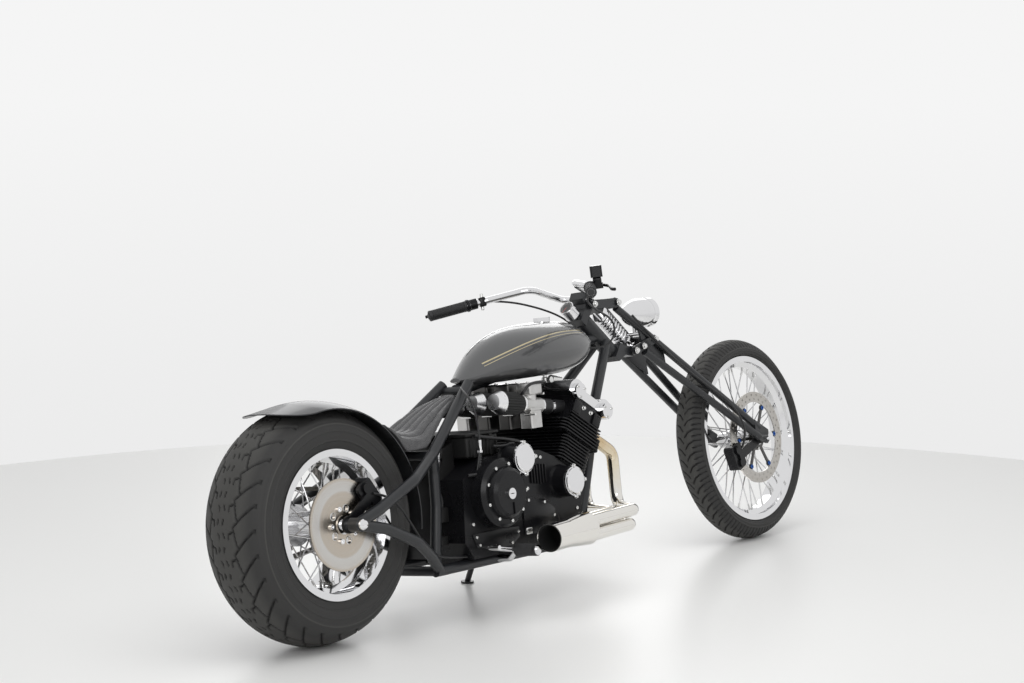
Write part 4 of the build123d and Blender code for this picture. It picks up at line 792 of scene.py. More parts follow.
# %% [markdown]
# ## Spoke nipples and disc bolts
# Each spoke ends in a small plated nipple at the rim. One nipple and one bolt are modelled, then
# copied round the wheel. An Array modifier could do the bolts, but each nipple leans with its own
# crossed spoke, so every copy gets a matrix.

# %% Nipples
SPOKES, SPOKE_SWEEP, SPOKE_OFFSET = 40, math.radians(38), 0.003


def round_wheel(centre, radius, y, angle):
    return Vector(centre) + Vector((math.sin(angle) * radius, y, math.cos(angle) * radius))


def wheel_spots(centre, count, radius, y, start=0.0):
    return [round_wheel(centre, radius, y, start + 2 * math.pi * index / count) for index in range(count)]


def laced(centre, flange_r, flange_y, rim_radius):
    """Both ends of every spoke, as the CAD wheel laces them."""
    for index in range(SPOKES):
        side = 1 if index % 2 else -1
        sweep = 1 if (index // 2) % 2 else -1
        first = 2 * math.pi / SPOKES * (index - index % 2)
        last = first + sweep * SPOKE_SWEEP
        aside = sweep * SPOKE_OFFSET
        start = round_wheel(centre, flange_r - 0.004, side * (flange_y + aside), first)
        yield start, round_wheel(centre, rim_radius - 0.035, side * (flange_y / 4 + aside), last)


NIPPLE = [(0.0, 0.0), (0.0, 0.0036), (0.003, 0.0042), (0.006, 0.0036), (0.018, 0.0033), (0.019, 0.0)]
for body, centre, flange_r, flange_y, rim_radius in (
    ("rear_wheel", REAR_AXLE, 0.058, 0.056, REAR_RIM),
    ("front_wheel", FRONT_AXLE, 0.034, 0.032, FRONT_RIM),
):
    spokes = laced(centre, flange_r, flange_y, rim_radius)
    nipples = repeated(spun(NIPPLE, steps=8), [seat_at(end, start - end) for start, end in spokes])
    settled(nipples, body + "_nipples", body, zinc)

# %% Bolts


def bolt(head_r, head_h):
    """A hexagon head with a chamfer on its washer, pointing along Y."""
    clear_selection()
    middle = (0, 0, head_h / 2 + 0.0012)
    bpy.ops.mesh.primitive_cylinder_add(vertices=6, radius=head_r, depth=head_h, location=middle)
    head = bpy.context.object
    with editing():
        bpy.ops.mesh.bevel(offset=head_r * 0.14, segments=1, affect="EDGES")
    head.matrix_world = Matrix.Rotation(-math.pi / 2, 4, "X") @ head.matrix_world
    applied(head)
    wide = head_r * 1.25
    washer = spun([(0, 0), (0, wide), (0.0009, wide), (0.0014, wide * 0.94), (0.0014, 0)], steps=16)
    return joined([head, washer])


def socket_screw(radius, high):
    """A round head with a hexagon socket, pointing along Y."""
    rim = [(0, 0), (0, radius), (high * 0.85, radius), (high, radius * 0.9), (high, radius * 0.52)]
    return spun(rim + [(high * 0.45, radius * 0.5), (high * 0.4, 0)], steps=12)


def screws_at(maker, spots, direction, *sizes):
    return repeated(maker(*sizes), [seat_at(spot, direction) for spot in spots])


DISC_FACE, DISC_HOLES = -0.128, 0.0458
disc_spots = wheel_spots(REAR_AXLE, 5, DISC_HOLES, DISC_FACE, math.radians(54))
rear_bolts = screws_at(socket_screw, disc_spots, RIGHT, 0.0075, 0.007)
settled(rear_bolts, "rear_disc_bolts", "rear_wheel", chrome)
eyelet = [(0.0, 0.0091), (0.0010, 0.0094), (0.0014, 0.0102), (0.0010, 0.0110), (0.0, 0.0114)]
windows = wheel_spots(REAR_AXLE, 5, DISC_HOLES, DISC_FACE, math.radians(90))
eyelets = repeated(spun(eyelet, steps=24), [seat_at(spot, RIGHT) for spot in windows])
settled(eyelets, "rear_disc_eyelets", "rear_wheel", zinc)
sprocket_spots = wheel_spots(REAR_AXLE, 6, 0.038, 0.1416, math.radians(30))
sprocket_bolts = screws_at(bolt, sprocket_spots, LEFT, 0.0065, 0.006)
settled(sprocket_bolts, "rear_sprocket_bolts", "rear_wheel", zinc)

# %% [markdown]
# ## Chain
# The CAD chain is a plain band. Here one outer and one inner link are made, each two waisted plates on
# two pins or rollers, and laid in turn round both sprockets. A Curve modifier would bend the stiff
# plates where the chain turns. A matrix for each link keeps them flat.

# %% Chain links
CHAIN_Y, CHAIN_BIG, CHAIN_SMALL, CHAIN_SPAN, LINKS = 0.138, 0.100, 0.0428, 0.530, 96
slope = math.asin((CHAIN_BIG - CHAIN_SMALL) / CHAIN_SPAN)
straight = CHAIN_SPAN * math.cos(slope)
big_arc, small_arc = CHAIN_BIG * (math.pi + 2 * slope), CHAIN_SMALL * (math.pi - 2 * slope)
link_pitch = (2 * straight + big_arc + small_arc) / LINKS


def chain_point(distance):
    """A point of the chain's line, from the top of the rear sprocket forward."""
    distance %= 2 * straight + big_arc + small_arc
    lean_out = Vector((math.sin(slope), 0, math.cos(slope)))
    run = Vector((math.cos(slope), 0, -math.sin(slope)))
    drive = REAR_AXLE + Vector((CHAIN_SPAN, 0, 0))
    if distance < straight:
        return REAR_AXLE + lean_out * CHAIN_BIG + run * distance
    distance -= straight
    if distance < small_arc:
        angle = math.pi / 2 - slope - distance / CHAIN_SMALL
        return drive + Vector((math.cos(angle), 0, math.sin(angle))) * CHAIN_SMALL
    distance -= small_arc
    if distance < straight:
        back = Vector((-run.x, 0, run.z))
        return drive + Vector((lean_out.x, 0, -lean_out.z)) * CHAIN_SMALL + back * distance
    distance -= straight
    angle = -math.pi / 2 + slope - distance / CHAIN_BIG
    return REAR_AXLE + Vector((math.cos(angle), 0, math.sin(angle))) * CHAIN_BIG


def link_plate(y, thick, high):
    """One waisted side plate, made along X with its pins a pitch apart."""
    clear_selection()
    bpy.ops.mesh.primitive_circle_add(
        vertices=14, radius=high / 2, fill_type="NGON", rotation=(math.pi / 2, 0, 0)
    )
    side = applied(bpy.context.object)
    for vertex in side.data.vertices:
        waist = 0.82 if abs(vertex.co.x) < 0.35 * high / 2 else 1.0
        vertex.co.x += math.copysign(link_pitch / 2, vertex.co.x) if abs(vertex.co.x) > 1e-6 else 0.0
        vertex.co.z *= waist
        vertex.co.y = y - thick / 2
    with editing():
        bpy.ops.mesh.extrude_region_move(TRANSFORM_OT_translate={"value": (0, thick, 0)})
        bpy.ops.mesh.select_all(action="SELECT")
        bpy.ops.mesh.normals_make_consistent(inside=False)
    return side


def rod(start, end, radius):
    """The outline of a plain pin or post."""
    return [(start, 0), (start, radius), (end, radius), (end, 0)]


def chain_link(outer):
    side, high = (0.0082, 0.0126) if outer else (0.0062, 0.0134)
    plates = [link_plate(sign * side, 0.0017, high) for sign in (1, -1)]
    post = rod(-0.0098, 0.0098, 0.0026) if outer else rod(-0.0052, 0.0052, 0.0046)
    return joined(plates + [spun(post, (end * link_pitch / 2, 0, 0), steps=10) for end in (1, -1)])


rows = []
for outer in (True, False):
    seats = []
    for index in range(0 if outer else 1, LINKS, 2):
        first, last = chain_point(index * link_pitch), chain_point((index + 1) * link_pitch)
        run = (last - first).normalized()
        turn_over = Matrix((run, Vector(LEFT), run.cross(Vector(LEFT)))).transposed().to_4x4()
        seats.append(Matrix.Translation((first + last) / 2 + Vector((0, CHAIN_Y, 0))) @ turn_over)
    rows.append(repeated(chain_link(outer), seats))
settled(joined(rows), "chain_links", "frame", chain_steel, ["chain"])

# %% [markdown]
# ## Seat
# The saddle is black leather over thin foam. Its block follows the CAD profile a little inside, is remeshed
# evenly, and is blown up by Cloth with its underside held, so the edges round off as stuffed leather does.
# Then six lengthwise seams are pressed in, which leave seven puffed channels. They fan out with the
# seat's width, and thread shows in each seam.

# %% Seat block, in millimetres


def round_of(first, middle, last):
    """Centre and radius of the circle through three points."""
    (ax, az), (bx, bz), (cx, cz) = first, middle, last
    twice = 2 * (ax * (bz - cz) + bx * (cz - az) + cx * (az - bz))
    squares = [ax * ax + az * az, bx * bx + bz * bz, cx * cx + cz * cz]
    x = (squares[0] * (bz - cz) + squares[1] * (cz - az) + squares[2] * (az - bz)) / twice
    z = (squares[0] * (cx - bx) + squares[1] * (ax - cx) + squares[2] * (bx - ax)) / twice
    return x, z, math.hypot(ax - x, az - z)


SEAT_AHEAD = [238.0, 262.0, 330.0, 400.0, 485.0, 560.0, 616.0]
SEAT_HALF = [84.0, 104.0, 112.0, 106.0, 82.0, 52.0, 28.0]
NOSE_ROUND = round_of((618, 636), (510, 600), (400, 546))
TAIL_ROUND = round_of((400, 546), (325, 544), (238, 592))
SEAT_START, SEAT_LENGTH, SKIN = 242, 370, 3
LEAST_FOAM, EDGE_DROP, EDGE_POWER = 6.0, 0.45, 6


def seat_half(x):
    return np.interp(x, SEAT_AHEAD, SEAT_HALF)


def seat_top(x):
    nose = NOSE_ROUND[1] + np.sqrt(NOSE_ROUND[2] ** 2 - (x - NOSE_ROUND[0]) ** 2)
    tail = TAIL_ROUND[1] - np.sqrt(np.maximum(TAIL_ROUND[2] ** 2 - (x - TAIL_ROUND[0]) ** 2, 0))
    return np.where(x > 400, nose, tail)


def seat_low(x):
    fender = 330 + np.sqrt(np.maximum(341.3**2 - x**2, 0))
    hollow = np.interp(x, [300, 384, 490, 618], [492.8, 493.2, 567.4, 606])
    return np.where(x < 300, fender, hollow)


clear_selection()
bpy.ops.mesh.primitive_cube_add(size=2, location=(0, 0, 0))
saddle = bpy.context.object
with editing():
    bpy.ops.mesh.subdivide(number_cuts=47)
unit = coordinates(saddle)
ahead = SEAT_START + (unit[:, 0] + 1) / 2 * SEAT_LENGTH
low, top = seat_low(ahead) + 1.0, seat_top(ahead) - SKIN
edge = 1 - EDGE_DROP * np.abs(unit[:, 1]) ** EDGE_POWER
high = low + np.maximum(top - low, LEAST_FOAM) * edge * (unit[:, 2] + 1) / 2
set_coordinates(saddle, np.stack([ahead, unit[:, 1] * (seat_half(ahead) - SKIN), high], axis=1) / 1000)

# %% Blow the seat up
FOAM_VOXEL, CLOTH_QUALITY, CLOTH_FRAMES, HELD_MM = 0.006, 6, 20, 5


def stuffed(piece, pressure, cap, held):
    """Swell a mesh by Cloth pressure with some points held, and keep each point's move under the cap."""
    start = coordinates(piece)
    pins = piece.vertex_groups.new(name="held")
    pins.add([int(index) for index in np.nonzero(held)[0]], 1.0, "REPLACE")
    only(piece)
    bpy.ops.object.modifier_add(type="CLOTH")
    soft = piece.modifiers[-1]
    soft.settings.quality = CLOTH_QUALITY
    soft.settings.use_pressure = True
    soft.settings.uniform_pressure_force = pressure
    soft.settings.effector_weights.gravity = 0
    soft.settings.vertex_group_mass = "held"
    for frame_number in range(1, CLOTH_FRAMES + 1):
        bpy.context.scene.frame_set(frame_number)
    bpy.ops.object.modifier_apply(modifier=soft.name)
    bpy.context.scene.frame_set(1)
    move = coordinates(piece) - start
    far = np.linalg.norm(move, axis=1, keepdims=True)
    set_coordinates(piece, start + move * np.minimum(1, cap / np.maximum(far, 1e-9)))
    piece.vertex_groups.clear()


only(saddle)
saddle.data.remesh_voxel_size = FOAM_VOXEL
bpy.ops.object.voxel_remesh()
foam = coordinates(saddle) * 1000
beneath = foam[:, 2] < seat_low(foam[:, 0]) + HELD_MM
stuffed(saddle, pressure=4.0, cap=0.006, held=beneath)
modified(saddle, "SUBSURF", levels=2, render_levels=2)
print("saddle", len(saddle.data.vertices), "points,", int(beneath.sum()), "of the foam held")

# %% Channels
CHANNELS, FADE_FROM, FADE_TO, FADE_RUN = 7, 0.250, 0.606, 0.02
SEAM_MOST, SEAM_SHARE, SEAM_SPREAD, PUFF_SHARE, PUFF_MOST = 0.006, 0.30, 0.16, 0.10, 0.002
pad = coordinates(saddle)
normals = np.empty(len(pad) * 3)
saddle.data.vertices.foreach_get("normal", normals)
upward = np.clip(normals.reshape(-1, 3)[:, 2] * 2 - 0.5, 0, 1)
half = seat_half(pad[:, 0] * 1000) / 1000
share = np.clip(pad[:, 1] / half, -1, 1) * CHANNELS / 2 + CHANNELS / 2
width = 2 * half / CHANNELS
from_seam = np.abs(share - np.round(share)) * width
inner = (np.round(share) > 0) & (np.round(share) < CHANNELS)
fade = np.clip((pad[:, 0] - FADE_FROM) / FADE_RUN, 0, 1) * np.clip((FADE_TO - pad[:, 0]) / FADE_RUN, 0, 1)
depth = np.minimum(SEAM_MOST, width * SEAM_SHARE)
pull = depth * np.exp(-from_seam / (SEAM_SPREAD * width)) * upward * inner * fade
puff = PUFF_SHARE * width * np.cos(np.pi * np.clip(from_seam / width - 0.5, -0.5, 0)) * upward * fade
pad[:, 2] += np.minimum(puff, PUFF_MOST) - pull
set_coordinates(saddle, pad)
seat_piece = settled(saddle, "saddle", "frame", leather, ["seat"], 60)

# %% Thread
STITCH_START, STITCH_STEP, STITCH_LENGTH, STITCHES = 258, 5.9, 3, 58
ABOVE_SEAT, THREAD_LIFT = 760, 0.0003
bpy.context.view_layer.update()
fall = PARKED.to_3x3() @ Vector(DOWN)


def on_seam(x, seam):
    """The point of the leather under a seam, found by a ray from above."""
    above = PARKED @ mm(x, seat_half(x) * (2 * seam / CHANNELS - 1), ABOVE_SEAT)
    hit, place, _, _ = seat_piece.ray_cast(above, fall)
    return place if hit else None


stitches = []
for seam in range(1, CHANNELS):
    for step in range(STITCHES):
        x = STITCH_START + step * STITCH_STEP
        place, place_on = on_seam(x, seam), on_seam(x + STITCH_LENGTH, seam)
        if place is not None and place_on is not None:
            stitches.append(PARKED.inverted() @ seat_at(place - fall * THREAD_LIFT, place_on - place))
thread = spun([(-0.0019, 0), (-0.0016, 0.0006), (0.0016, 0.0006), (0.0019, 0)], steps=6)
settled(repeated(thread, stitches), "saddle_thread", "frame", cloth)

# %% [markdown]
# ## Bars and controls
# The grips are moulded rubber with fine rings. Bump would not show in their outline, so the rings are in
# the outline that is spun. The links' nuts are one bolt, copied to both ends of each pin. The clock's marks
# are printed flat on the real one, so shader sums draw them on a plain disc.

# %% Grips
BAR_END, BAR_KNEE = mm(906, 316, 876), mm(1052, 206, 901.6)
grip_run = (BAR_KNEE - BAR_END).normalized()
grip_outline = [(0.0, 0.0112), (0.0, 0.0158), (0.002, 0.0170), (0.008, 0.0170)]
for ring in range(26):
    start = 0.009 + ring * 0.004
    grip_outline += [(start, 0.0157), (start + 0.0012, 0.0157)]
    grip_outline += [(start + 0.0018, 0.0168), (start + 0.0034, 0.0168)]
grip_outline += [(0.114, 0.0157), (0.115, 0.0170), (0.121, 0.0170), (0.122, 0.0160), (0.122, 0.0112)]
left_grip = spun(grip_outline, BAR_END, grip_run, 40)
settled(mirrored(left_grip), "ribbed_grips", "steering", grip_rubber, ["grips"])
plug_outline = [(-0.0035, 0), (-0.0035, 0.0085), (-0.002, 0.0106), (0.0, 0.0108), (0.0, 0.0)]
plug = spun(plug_outline, BAR_END, grip_run, 24)
settled(mirrored(plug), "bar_end_rings", "steering", grip_rubber)

# %% Link nuts
LINK_PINS = ((1284, 849, 47), (1412, 847, 47), (1467, 687, 55), (1510, 698, 55), (1581, 716, 55))
nut_seats = [
    seat_at(mm(x, side * reach, z), (0, side, 0)) for x, z, reach in LINK_PINS for side in (-1, 1)
]
settled(repeated(bolt(0.0085, 0.006), nut_seats), "link_nuts", "steering", zinc)

# %% Clock face
CLOCK, FACING = mm(1206, 0, 838), Vector((-0.75, 0, 0.66)).normalized()
dial = Finish("clock_face")
across, _, upright = dial.parts(dial.place(STEERED @ seat_at(CLOCK, FACING)))
sweep_angle = dial.maths("ARCTAN2", across, upright)
dial_radius = dial.maths("SQRT", across * across + upright * upright)
teeth = dial.maths("FRACT", sweep_angle * 5.7296 + 0.06)
marks = (teeth < 0.12) * (dial_radius > 0.0150) * (dial_radius < 0.0195)
needle = dial.maths("COMPARE", across + upright * 0.6, 0.0, 0.0007) * (upright < 0.001)
marked = dial.mix(marks, rgb(0.012, 0.012, 0.013), rgb(0.75, 0.75, 0.72))
dial_colour = dial.mix(needle, marked, rgb(0.6, 0.05, 0.02))
dial_face = dial.surface(base_color=dial_colour, roughness=0.35, coat_weight=1.0)
face_disc = spun([(0.0141, 0), (0.0141, 0.0212), (0.0146, 0.0208), (0.0146, 0)], CLOCK, FACING, 48)
settled(face_disc, "clock_face", "steering", dial_face)
bezel = [(0.0138, 0.0208), (0.0138, 0.0249), (0.0152, 0.0246), (0.0166, 0.0234), (0.0160, 0.0216)]
settled(spun(bezel, CLOCK, FACING, 48), "clock_bezel", "steering", chrome)

# %% [markdown]
# ## Engine fittings
# Up close an engine is mostly fasteners. Screws ring the clutch cover, caps and cam cover, the carburettors
# get square tops, a shaft and clamps, each exhaust port its flange, and the head its side fins. One screw
# of each size is made and copied to a list of spots, which is easier to correct than many placed by hand.

# %% Screws on covers and case
CLUTCH, LOWER_CAP, UPPER_CAP, GENERATOR = (
    mm(x, 0, z) for x, z in ((580, 342), (882, 338), (660, 432), (850, 330))
)
CASE_FACE, CAP_SCREWS = 165.1, 0.046
CASE_SCREW = (0.0052, 0.005)
right_spots = wheel_spots(CLUTCH, 9, 0.083, -0.2154, math.radians(12))
for centre, y in ((LOWER_CAP, -0.2247), (UPPER_CAP, -0.2287)):
    for ahead_of, above in ((0, CAP_SCREWS), (0, -CAP_SCREWS), (CAP_SCREWS, 0)):
        right_spots.append(centre + Vector((ahead_of, y, above)))
right_places = [(488, 319), (478, 264), (890, 210), (950, 250), (966, 290), (730, 336), (690, 330)]
right_places += [(800, 420), (500, 392)]
left_places = [(640, 190), (700, 196), (800, 190), (950, 250), (720, 400), (660, 300), (650, 420)]
right_spots += [mm(x, -CASE_FACE, z) for x, z in right_places]
left_spots = wheel_spots(GENERATOR, 7, 0.065, 0.2053, math.radians(20))
left_spots += [mm(x, CASE_FACE, z) for x, z in left_places]
screws = [screws_at(socket_screw, right_spots, RIGHT, *CASE_SCREW)]
screws.append(screws_at(socket_screw, left_spots, LEFT, *CASE_SCREW))
settled(joined(screws), "engine_screws", "frame", zinc)
FILLER = mm(572, -245.6, 340)
# Painted shade: a thin flat dark bar on the filler cap stands in for the shade inside its slot.
slot_shade_bar = spun(rod(0, 0.0006, 0.012), FILLER, RIGHT, 4)
for vertex in slot_shade_bar.data.vertices:
    vertex.co.z = FILLER.z + (vertex.co.z - FILLER.z) * 0.12
settled(slot_shade_bar, "filler_slot_shade", "frame", dull_paint)

# %% Cylinder bank
TILT_UP = math.radians(31)
BANK_UP = Vector((math.sin(TILT_UP), 0, math.cos(TILT_UP)))
BANK_AHEAD = Vector((math.cos(TILT_UP), 0, -math.sin(TILT_UP)))
PORTS, PORT_UP, CAM_AHEAD, CAM_UP = (127, 42, -42, -127), 147, 70, 218


def bank(ahead_mm, y_mm, up_mm):
    """A point of the tilted cylinder bank, from the foot of the barrels."""
    return mm(935, y_mm, 375) + BANK_AHEAD * (ahead_mm / 1000) + BANK_UP * (up_mm / 1000)


cover_spots = [bank(side * 18, y, 233.3) for y in (-160, -96, -32, 32, 96, 160) for side in (-1, 1)]
settled(screws_at(bolt, cover_spots, BANK_UP, 0.0055, 0.006), "cam_cover_bolts", "frame", chrome)
cap_seats = []
for ahead_mm in (-CAM_AHEAD, CAM_AHEAD):
    for angle in (45, 165, 285):
        out = 18 * math.cos(math.radians(angle)), 18 * math.sin(math.radians(angle))
        for side in (1, -1):
            spot = bank(ahead_mm + out[0], side * 196.3, CAM_UP + out[1])
            cap_seats.append(seat_at(spot, (0, side, 0)))
settled(repeated(socket_screw(0.0036, 0.004), cap_seats), "cam_cap_screws", "frame", zinc)
flange = [(0.0006, 0.0194), (0.0006, 0.0275), (0.003, 0.0285), (0.009, 0.0285)]
flange += [(0.0095, 0.0235), (0.015, 0.0225), (0.015, 0.0194)]
flanges = [spun(flange, bank(70, y, PORT_UP), BANK_AHEAD, 36) for y in PORTS]
settled(joined(flanges), "port_flanges", "frame", zinc)
stud_spots = [bank(79, y + side * 24, PORT_UP) for y in PORTS for side in (-1, 1)]
settled(screws_at(bolt, stud_spots, BANK_AHEAD, 0.0055, 0.007), "port_nuts", "frame", zinc)

# %% Carburettor tops, shaft and clamps
INTAKE = Vector((-0.989, 0, 0.144)).normalized()
CLAMPS = ((0.043, 0.0282), (-0.046, 0.0222), (-0.092, 0.0222))


def rounded_box(size, centre, bevel):
    clear_selection()
    bpy.ops.mesh.primitive_cube_add(size=1, location=centre)
    piece = bpy.context.object
    piece.scale = size
    return modified(applied(piece), "BEVEL", width=bevel, segments=3)


tops = [rounded_box((0.058, 0.056, 0.036), mm(828, y, 622), 0.006) for y in PORTS]
tops += [rounded_box((0.056, 0.052, 0.007), mm(826, y, 560), 0.002) for y in PORTS]
settled(joined(tops), "carburettor_tops", "frame", alloy)
top_corners = ((-20, -20), (20, 20), (20, -20), (-20, 20))
top_spots = [mm(828 + dx, y + dy, 640) for y in PORTS for dx, dy in top_corners]
top_screws = screws_at(socket_screw, top_spots, UP, 0.0028, 0.003)
settled(top_screws, "carburettor_screws", "frame", zinc)
quadrant = [(-0.006, 0.003), (-0.006, 0.015), (-0.003, 0.012), (0.003, 0.012), (0.006, 0.015), (0.006, 0.003)]
linkage = [spun(rod(-0.152, 0.152, 0.0035), mm(864, 0, 604), LEFT, 12)]
linkage.append(spun(quadrant, mm(864, 84, 604), LEFT, 24))
linkage += [spun(rod(-0.02, 0.02, 0.004), mm(800, y - 20, 548), LEFT, 10) for y in PORTS]
settled(joined(linkage), "throttle_shaft", "frame", zinc)
bands = []
for y in PORTS:
    for reach, radius in CLAMPS:
        band = [(0, radius), (0, radius + 0.0014), (0.009, radius + 0.0014), (0.009, radius)]
        bands.append(spun(band, mm(826, y, 574) + INTAKE * reach, INTAKE, 32))
settled(joined(bands), "hose_clamps", "frame", chrome)

# %% Head fins and camshaft towers


def bank_box(size, ahead_mm, y_mm, up_mm, bevel):
    piece = rounded_box(size, (0, 0, 0), bevel)
    piece.matrix_world = Matrix.Translation(bank(ahead_mm, y_mm, up_mm)) @ Matrix.Rotation(TILT_UP, 4, "Y")
    return applied(piece)


head_sides, tower_seats = [], []
for side in (1, -1):
    head_sides += [bank_box((0.150, 0.012, 0.004), 0, side * 180, up, 0.0012) for up in (130, 140, 150)]
    head_sides += [bank_box((0.034, 0.010, 0.040), far, side * 178, 175, 0.003) for far in (-50, 50)]
    tower_seats += [seat_at(bank(far, side * 175.2, 186), (0, side, 0)) for far in (-18, 18)]
settled(joined(head_sides), "head_fins", "frame", engine_paint)
settled(repeated(bolt(0.0055, 0.006), tower_seats), "head_nuts", "frame", zinc)

# %% [markdown]
# ## Wheel fittings and exhaust mouth
# Blue anodised buttons hold the front brake band on its carrier. The exhaust's open end is black with soot,
# and the foot pegs wear ringed rubber. All of these are round, so each is one outline spun about its axis.

# %% Disc buttons, soot and peg rubbers
CARRIER_FACE = -0.0671
button_spots = wheel_spots(FRONT_AXLE, 6, 0.1097, CARRIER_FACE, math.radians(30))
buttons = screws_at(socket_screw, button_spots, RIGHT, 0.0075, 0.0035)
settled(buttons, "disc_buttons", "front_wheel", blue)
hub_spots = wheel_spots(FRONT_AXLE, 6, 0.0385, CARRIER_FACE)
hub_screws = screws_at(socket_screw, hub_spots, RIGHT, 0.0045, 0.004)
settled(hub_screws, "carrier_screws", "front_wheel", zinc)
MOUTH, MOUTH_WAY = mm(650, -300, 200), Vector((-390.0, -57.0, -1.0)).normalized()
liner = [(-0.089, 0), (-0.089, 0.0378), (-0.0015, 0.0378), (-0.0015, 0.0372), (-0.0884, 0.0372), (-0.0884, 0)]
settled(spun(liner, MOUTH, MOUTH_WAY, 48), "soot_lining", "frame", soot)


def ringed(start, count, high, low):
    """Rings of a rubber sleeve, 4 mm apart."""
    return [(start + 0.004 * i, high - low * (i % 2)) for i in range(count)]


peg_outline = [(0.0, 0.0152), (0.0, 0.0172), (0.003, 0.0180), *ringed(0.006, 17, 0.0180, 0.0016)]
peg_outline += [(0.077, 0.0172), (0.078, 0.0152)]
sleeves = [spun(peg_outline, mm(612, side * 207, 172), (0, side, 0), 32) for side in (1, -1)]
settled(joined(sleeves), "peg_rubbers", "frame", grip_rubber)

# %% [markdown]
# ## Handlebar fittings
# The brake's fluid box sits on its master cylinder and has a thin bright lid. A collar and a clamp with push
# switches take up the rest of the bar inside each grip. The bar runs in no main direction, so blocks are
# made flat at the origin and laid along it by one matrix.

# %% Fluid box, housings and switches
LEVER_WAY = Vector(UP).cross(grip_run).normalized()
SWITCH_CLAMP, MASTER_CYLINDER = 176, 146


def on_bar(side, far, out=0.0, up=0.0):
    """A point beside the bar in millimetres: along it from its end, towards the lever, and up."""
    place = BAR_END + (grip_run * far + LEVER_WAY * out + Vector((0, 0, up))) / 1000
    return Vector((place.x, side * place.y, place.z))


def beside_bar(side):
    """Axes that follow the bar: along, towards the lever, and up."""
    run, way = Vector(grip_run), Vector(LEVER_WAY)
    run.y, way.y = side * run.y, side * way.y
    return Matrix((run, way, run.cross(way) * side)).transposed().to_4x4()


def bar_block(size, side, far, out, up, bevel):
    block = rounded_box(size, (0, 0, 0), bevel)
    block.matrix_world = Matrix.Translation(on_bar(side, far, out, up)) @ beside_bar(side)
    return applied(block)


bar_blocks = [
    bar_block((0.040, 0.026, 0.022), -1, MASTER_CYLINDER, 24, 17, 0.006),
    bar_block((0.022, 0.024, 0.030), 1, SWITCH_CLAMP, 0, 0, 0.005),
    bar_block((0.020, 0.026, 0.032), -1, SWITCH_CLAMP, 0, -2, 0.005),
]
housing = [(0.1235, 0.0112), (0.1235, 0.0185), (0.125, 0.0195), (0.131, 0.0195), (0.1325, 0.0185)]
housing.append((0.1325, 0.0112))
bar_blocks.append(mirrored(spun(housing, BAR_END, grip_run, 32)))
settled(joined(bar_blocks), "bar_housings", "steering", engine_paint)
lid = bar_block((0.040, 0.028, 0.0008), -1, MASTER_CYLINDER, 24, 60.0, 0.0003)
settled(lid, "fluid_box_lid", "steering", alloy)
knob = [(0, 0), (0, 0.0055), (0.010, 0.0055), (0.012, 0.004), (0.012, 0)]
KNOBS = ((1, 0, 14, UP), (1, 4, -14, DOWN), (-1, 4, -16, DOWN))
knobs = [spun(knob, on_bar(side, SWITCH_CLAMP, out, up), way, 16) for side, out, up, way in KNOBS]
settled(joined(knobs), "bar_switches", "steering", zinc)

# %% [markdown]
# ## Engine plumbing
# Ribs stiffen the case between the round caps. A valve hangs under the tank and feeds the fuel hose, and thin
# pipes run to the caps. A pipe is a curve with a round section, made a mesh, so that few points give even
# bends.

# %% Ribs, valve and pipes
case_ribs = []
for first_x, y, z in ((752, -166, 372), (700, 166, 390)):
    for i in range(6):
        size = (0.005, 0.010, 0.060 - 0.004 * abs(i - 3))
        case_ribs.append(rounded_box(size, mm(first_x + 13 * i, y, z), 0.0016))
settled(joined(case_ribs), "case_ribs", "frame", engine_paint)
PIPES = (
    (0.0042, [(590, -172, 476), (640, -176, 470), (664, -180, 478), (668, -186, 474)]),
    (0.005, [(478, -166, 404), (512, -178, 404), (560, -180, 398), (590, -170, 420)]),
    (0.0048, [(540, -150, 512), (600, -165, 498), (680, -168, 486), (742, -160, 470)]),
)
pipes = [swept([mm(*point) for point in points], radius) for radius, points in PIPES]
settled(joined(pipes), "oil_pipes", "frame", hose_rubber, angle=60)
valve = [(0, 0), (0, 0.007), (0.008, 0.007), (0.010, 0.011), (0.022, 0.011), (0.024, 0.007), (0.036, 0.007)]
valve.append((0.036, 0))
tap = [(0, 0), (0, 0.006), (0.016, 0.005), (0.018, 0.009), (0.021, 0.009), (0.021, 0)]
canister = [(-0.034, 0), (-0.034, 0.004), (-0.026, 0.005), (-0.022, 0.013)]
canister += [(-far, out) for far, out in reversed(canister)]
fuel_parts = [spun(valve, mm(985, -62, 622), UP, 24), spun(tap, mm(985, -66, 638), RIGHT, 20)]
fuel_parts.append(spun(canister, mm(1030, -64, 634), (0.96, 0, -0.2), 28))
fuel_parts.append(rounded_box((0.026, 0.010, 0.020), mm(717, -168, 213), 0.003))
settled(joined(fuel_parts), "fuel_valve", "frame", zinc)

# %% [markdown]
# ## Electrics and flat covers
# The electrics sit behind the seat post: a bracket, two relay boxes and a ribbed box under the carburettors.
# Two flat covers close the case on the right. A plate starts as its outline in side view. Solidify gives it
# its thickness and Bevel its rounded edge.

# %% Bracket, boxes and covers


def plate(corners, y, thick, bevel):
    """A flat plate on the machine's side, from its corners in side view, with rounded edges."""
    clear_selection()
    bpy.ops.mesh.primitive_circle_add(vertices=len(corners), radius=1, fill_type="NGON", location=(0, 0, 0))
    piece = bpy.context.object
    for vertex, (x, z) in zip(piece.data.vertices, corners):
        vertex.co = mm(x, y, z)
    modified(piece, "SOLIDIFY", thickness=thick / 1000, offset=0)
    modified(piece, "BEVEL", width=bevel / 1000, segments=2)
    with editing():
        bpy.ops.mesh.normals_make_consistent(inside=False)
    return piece


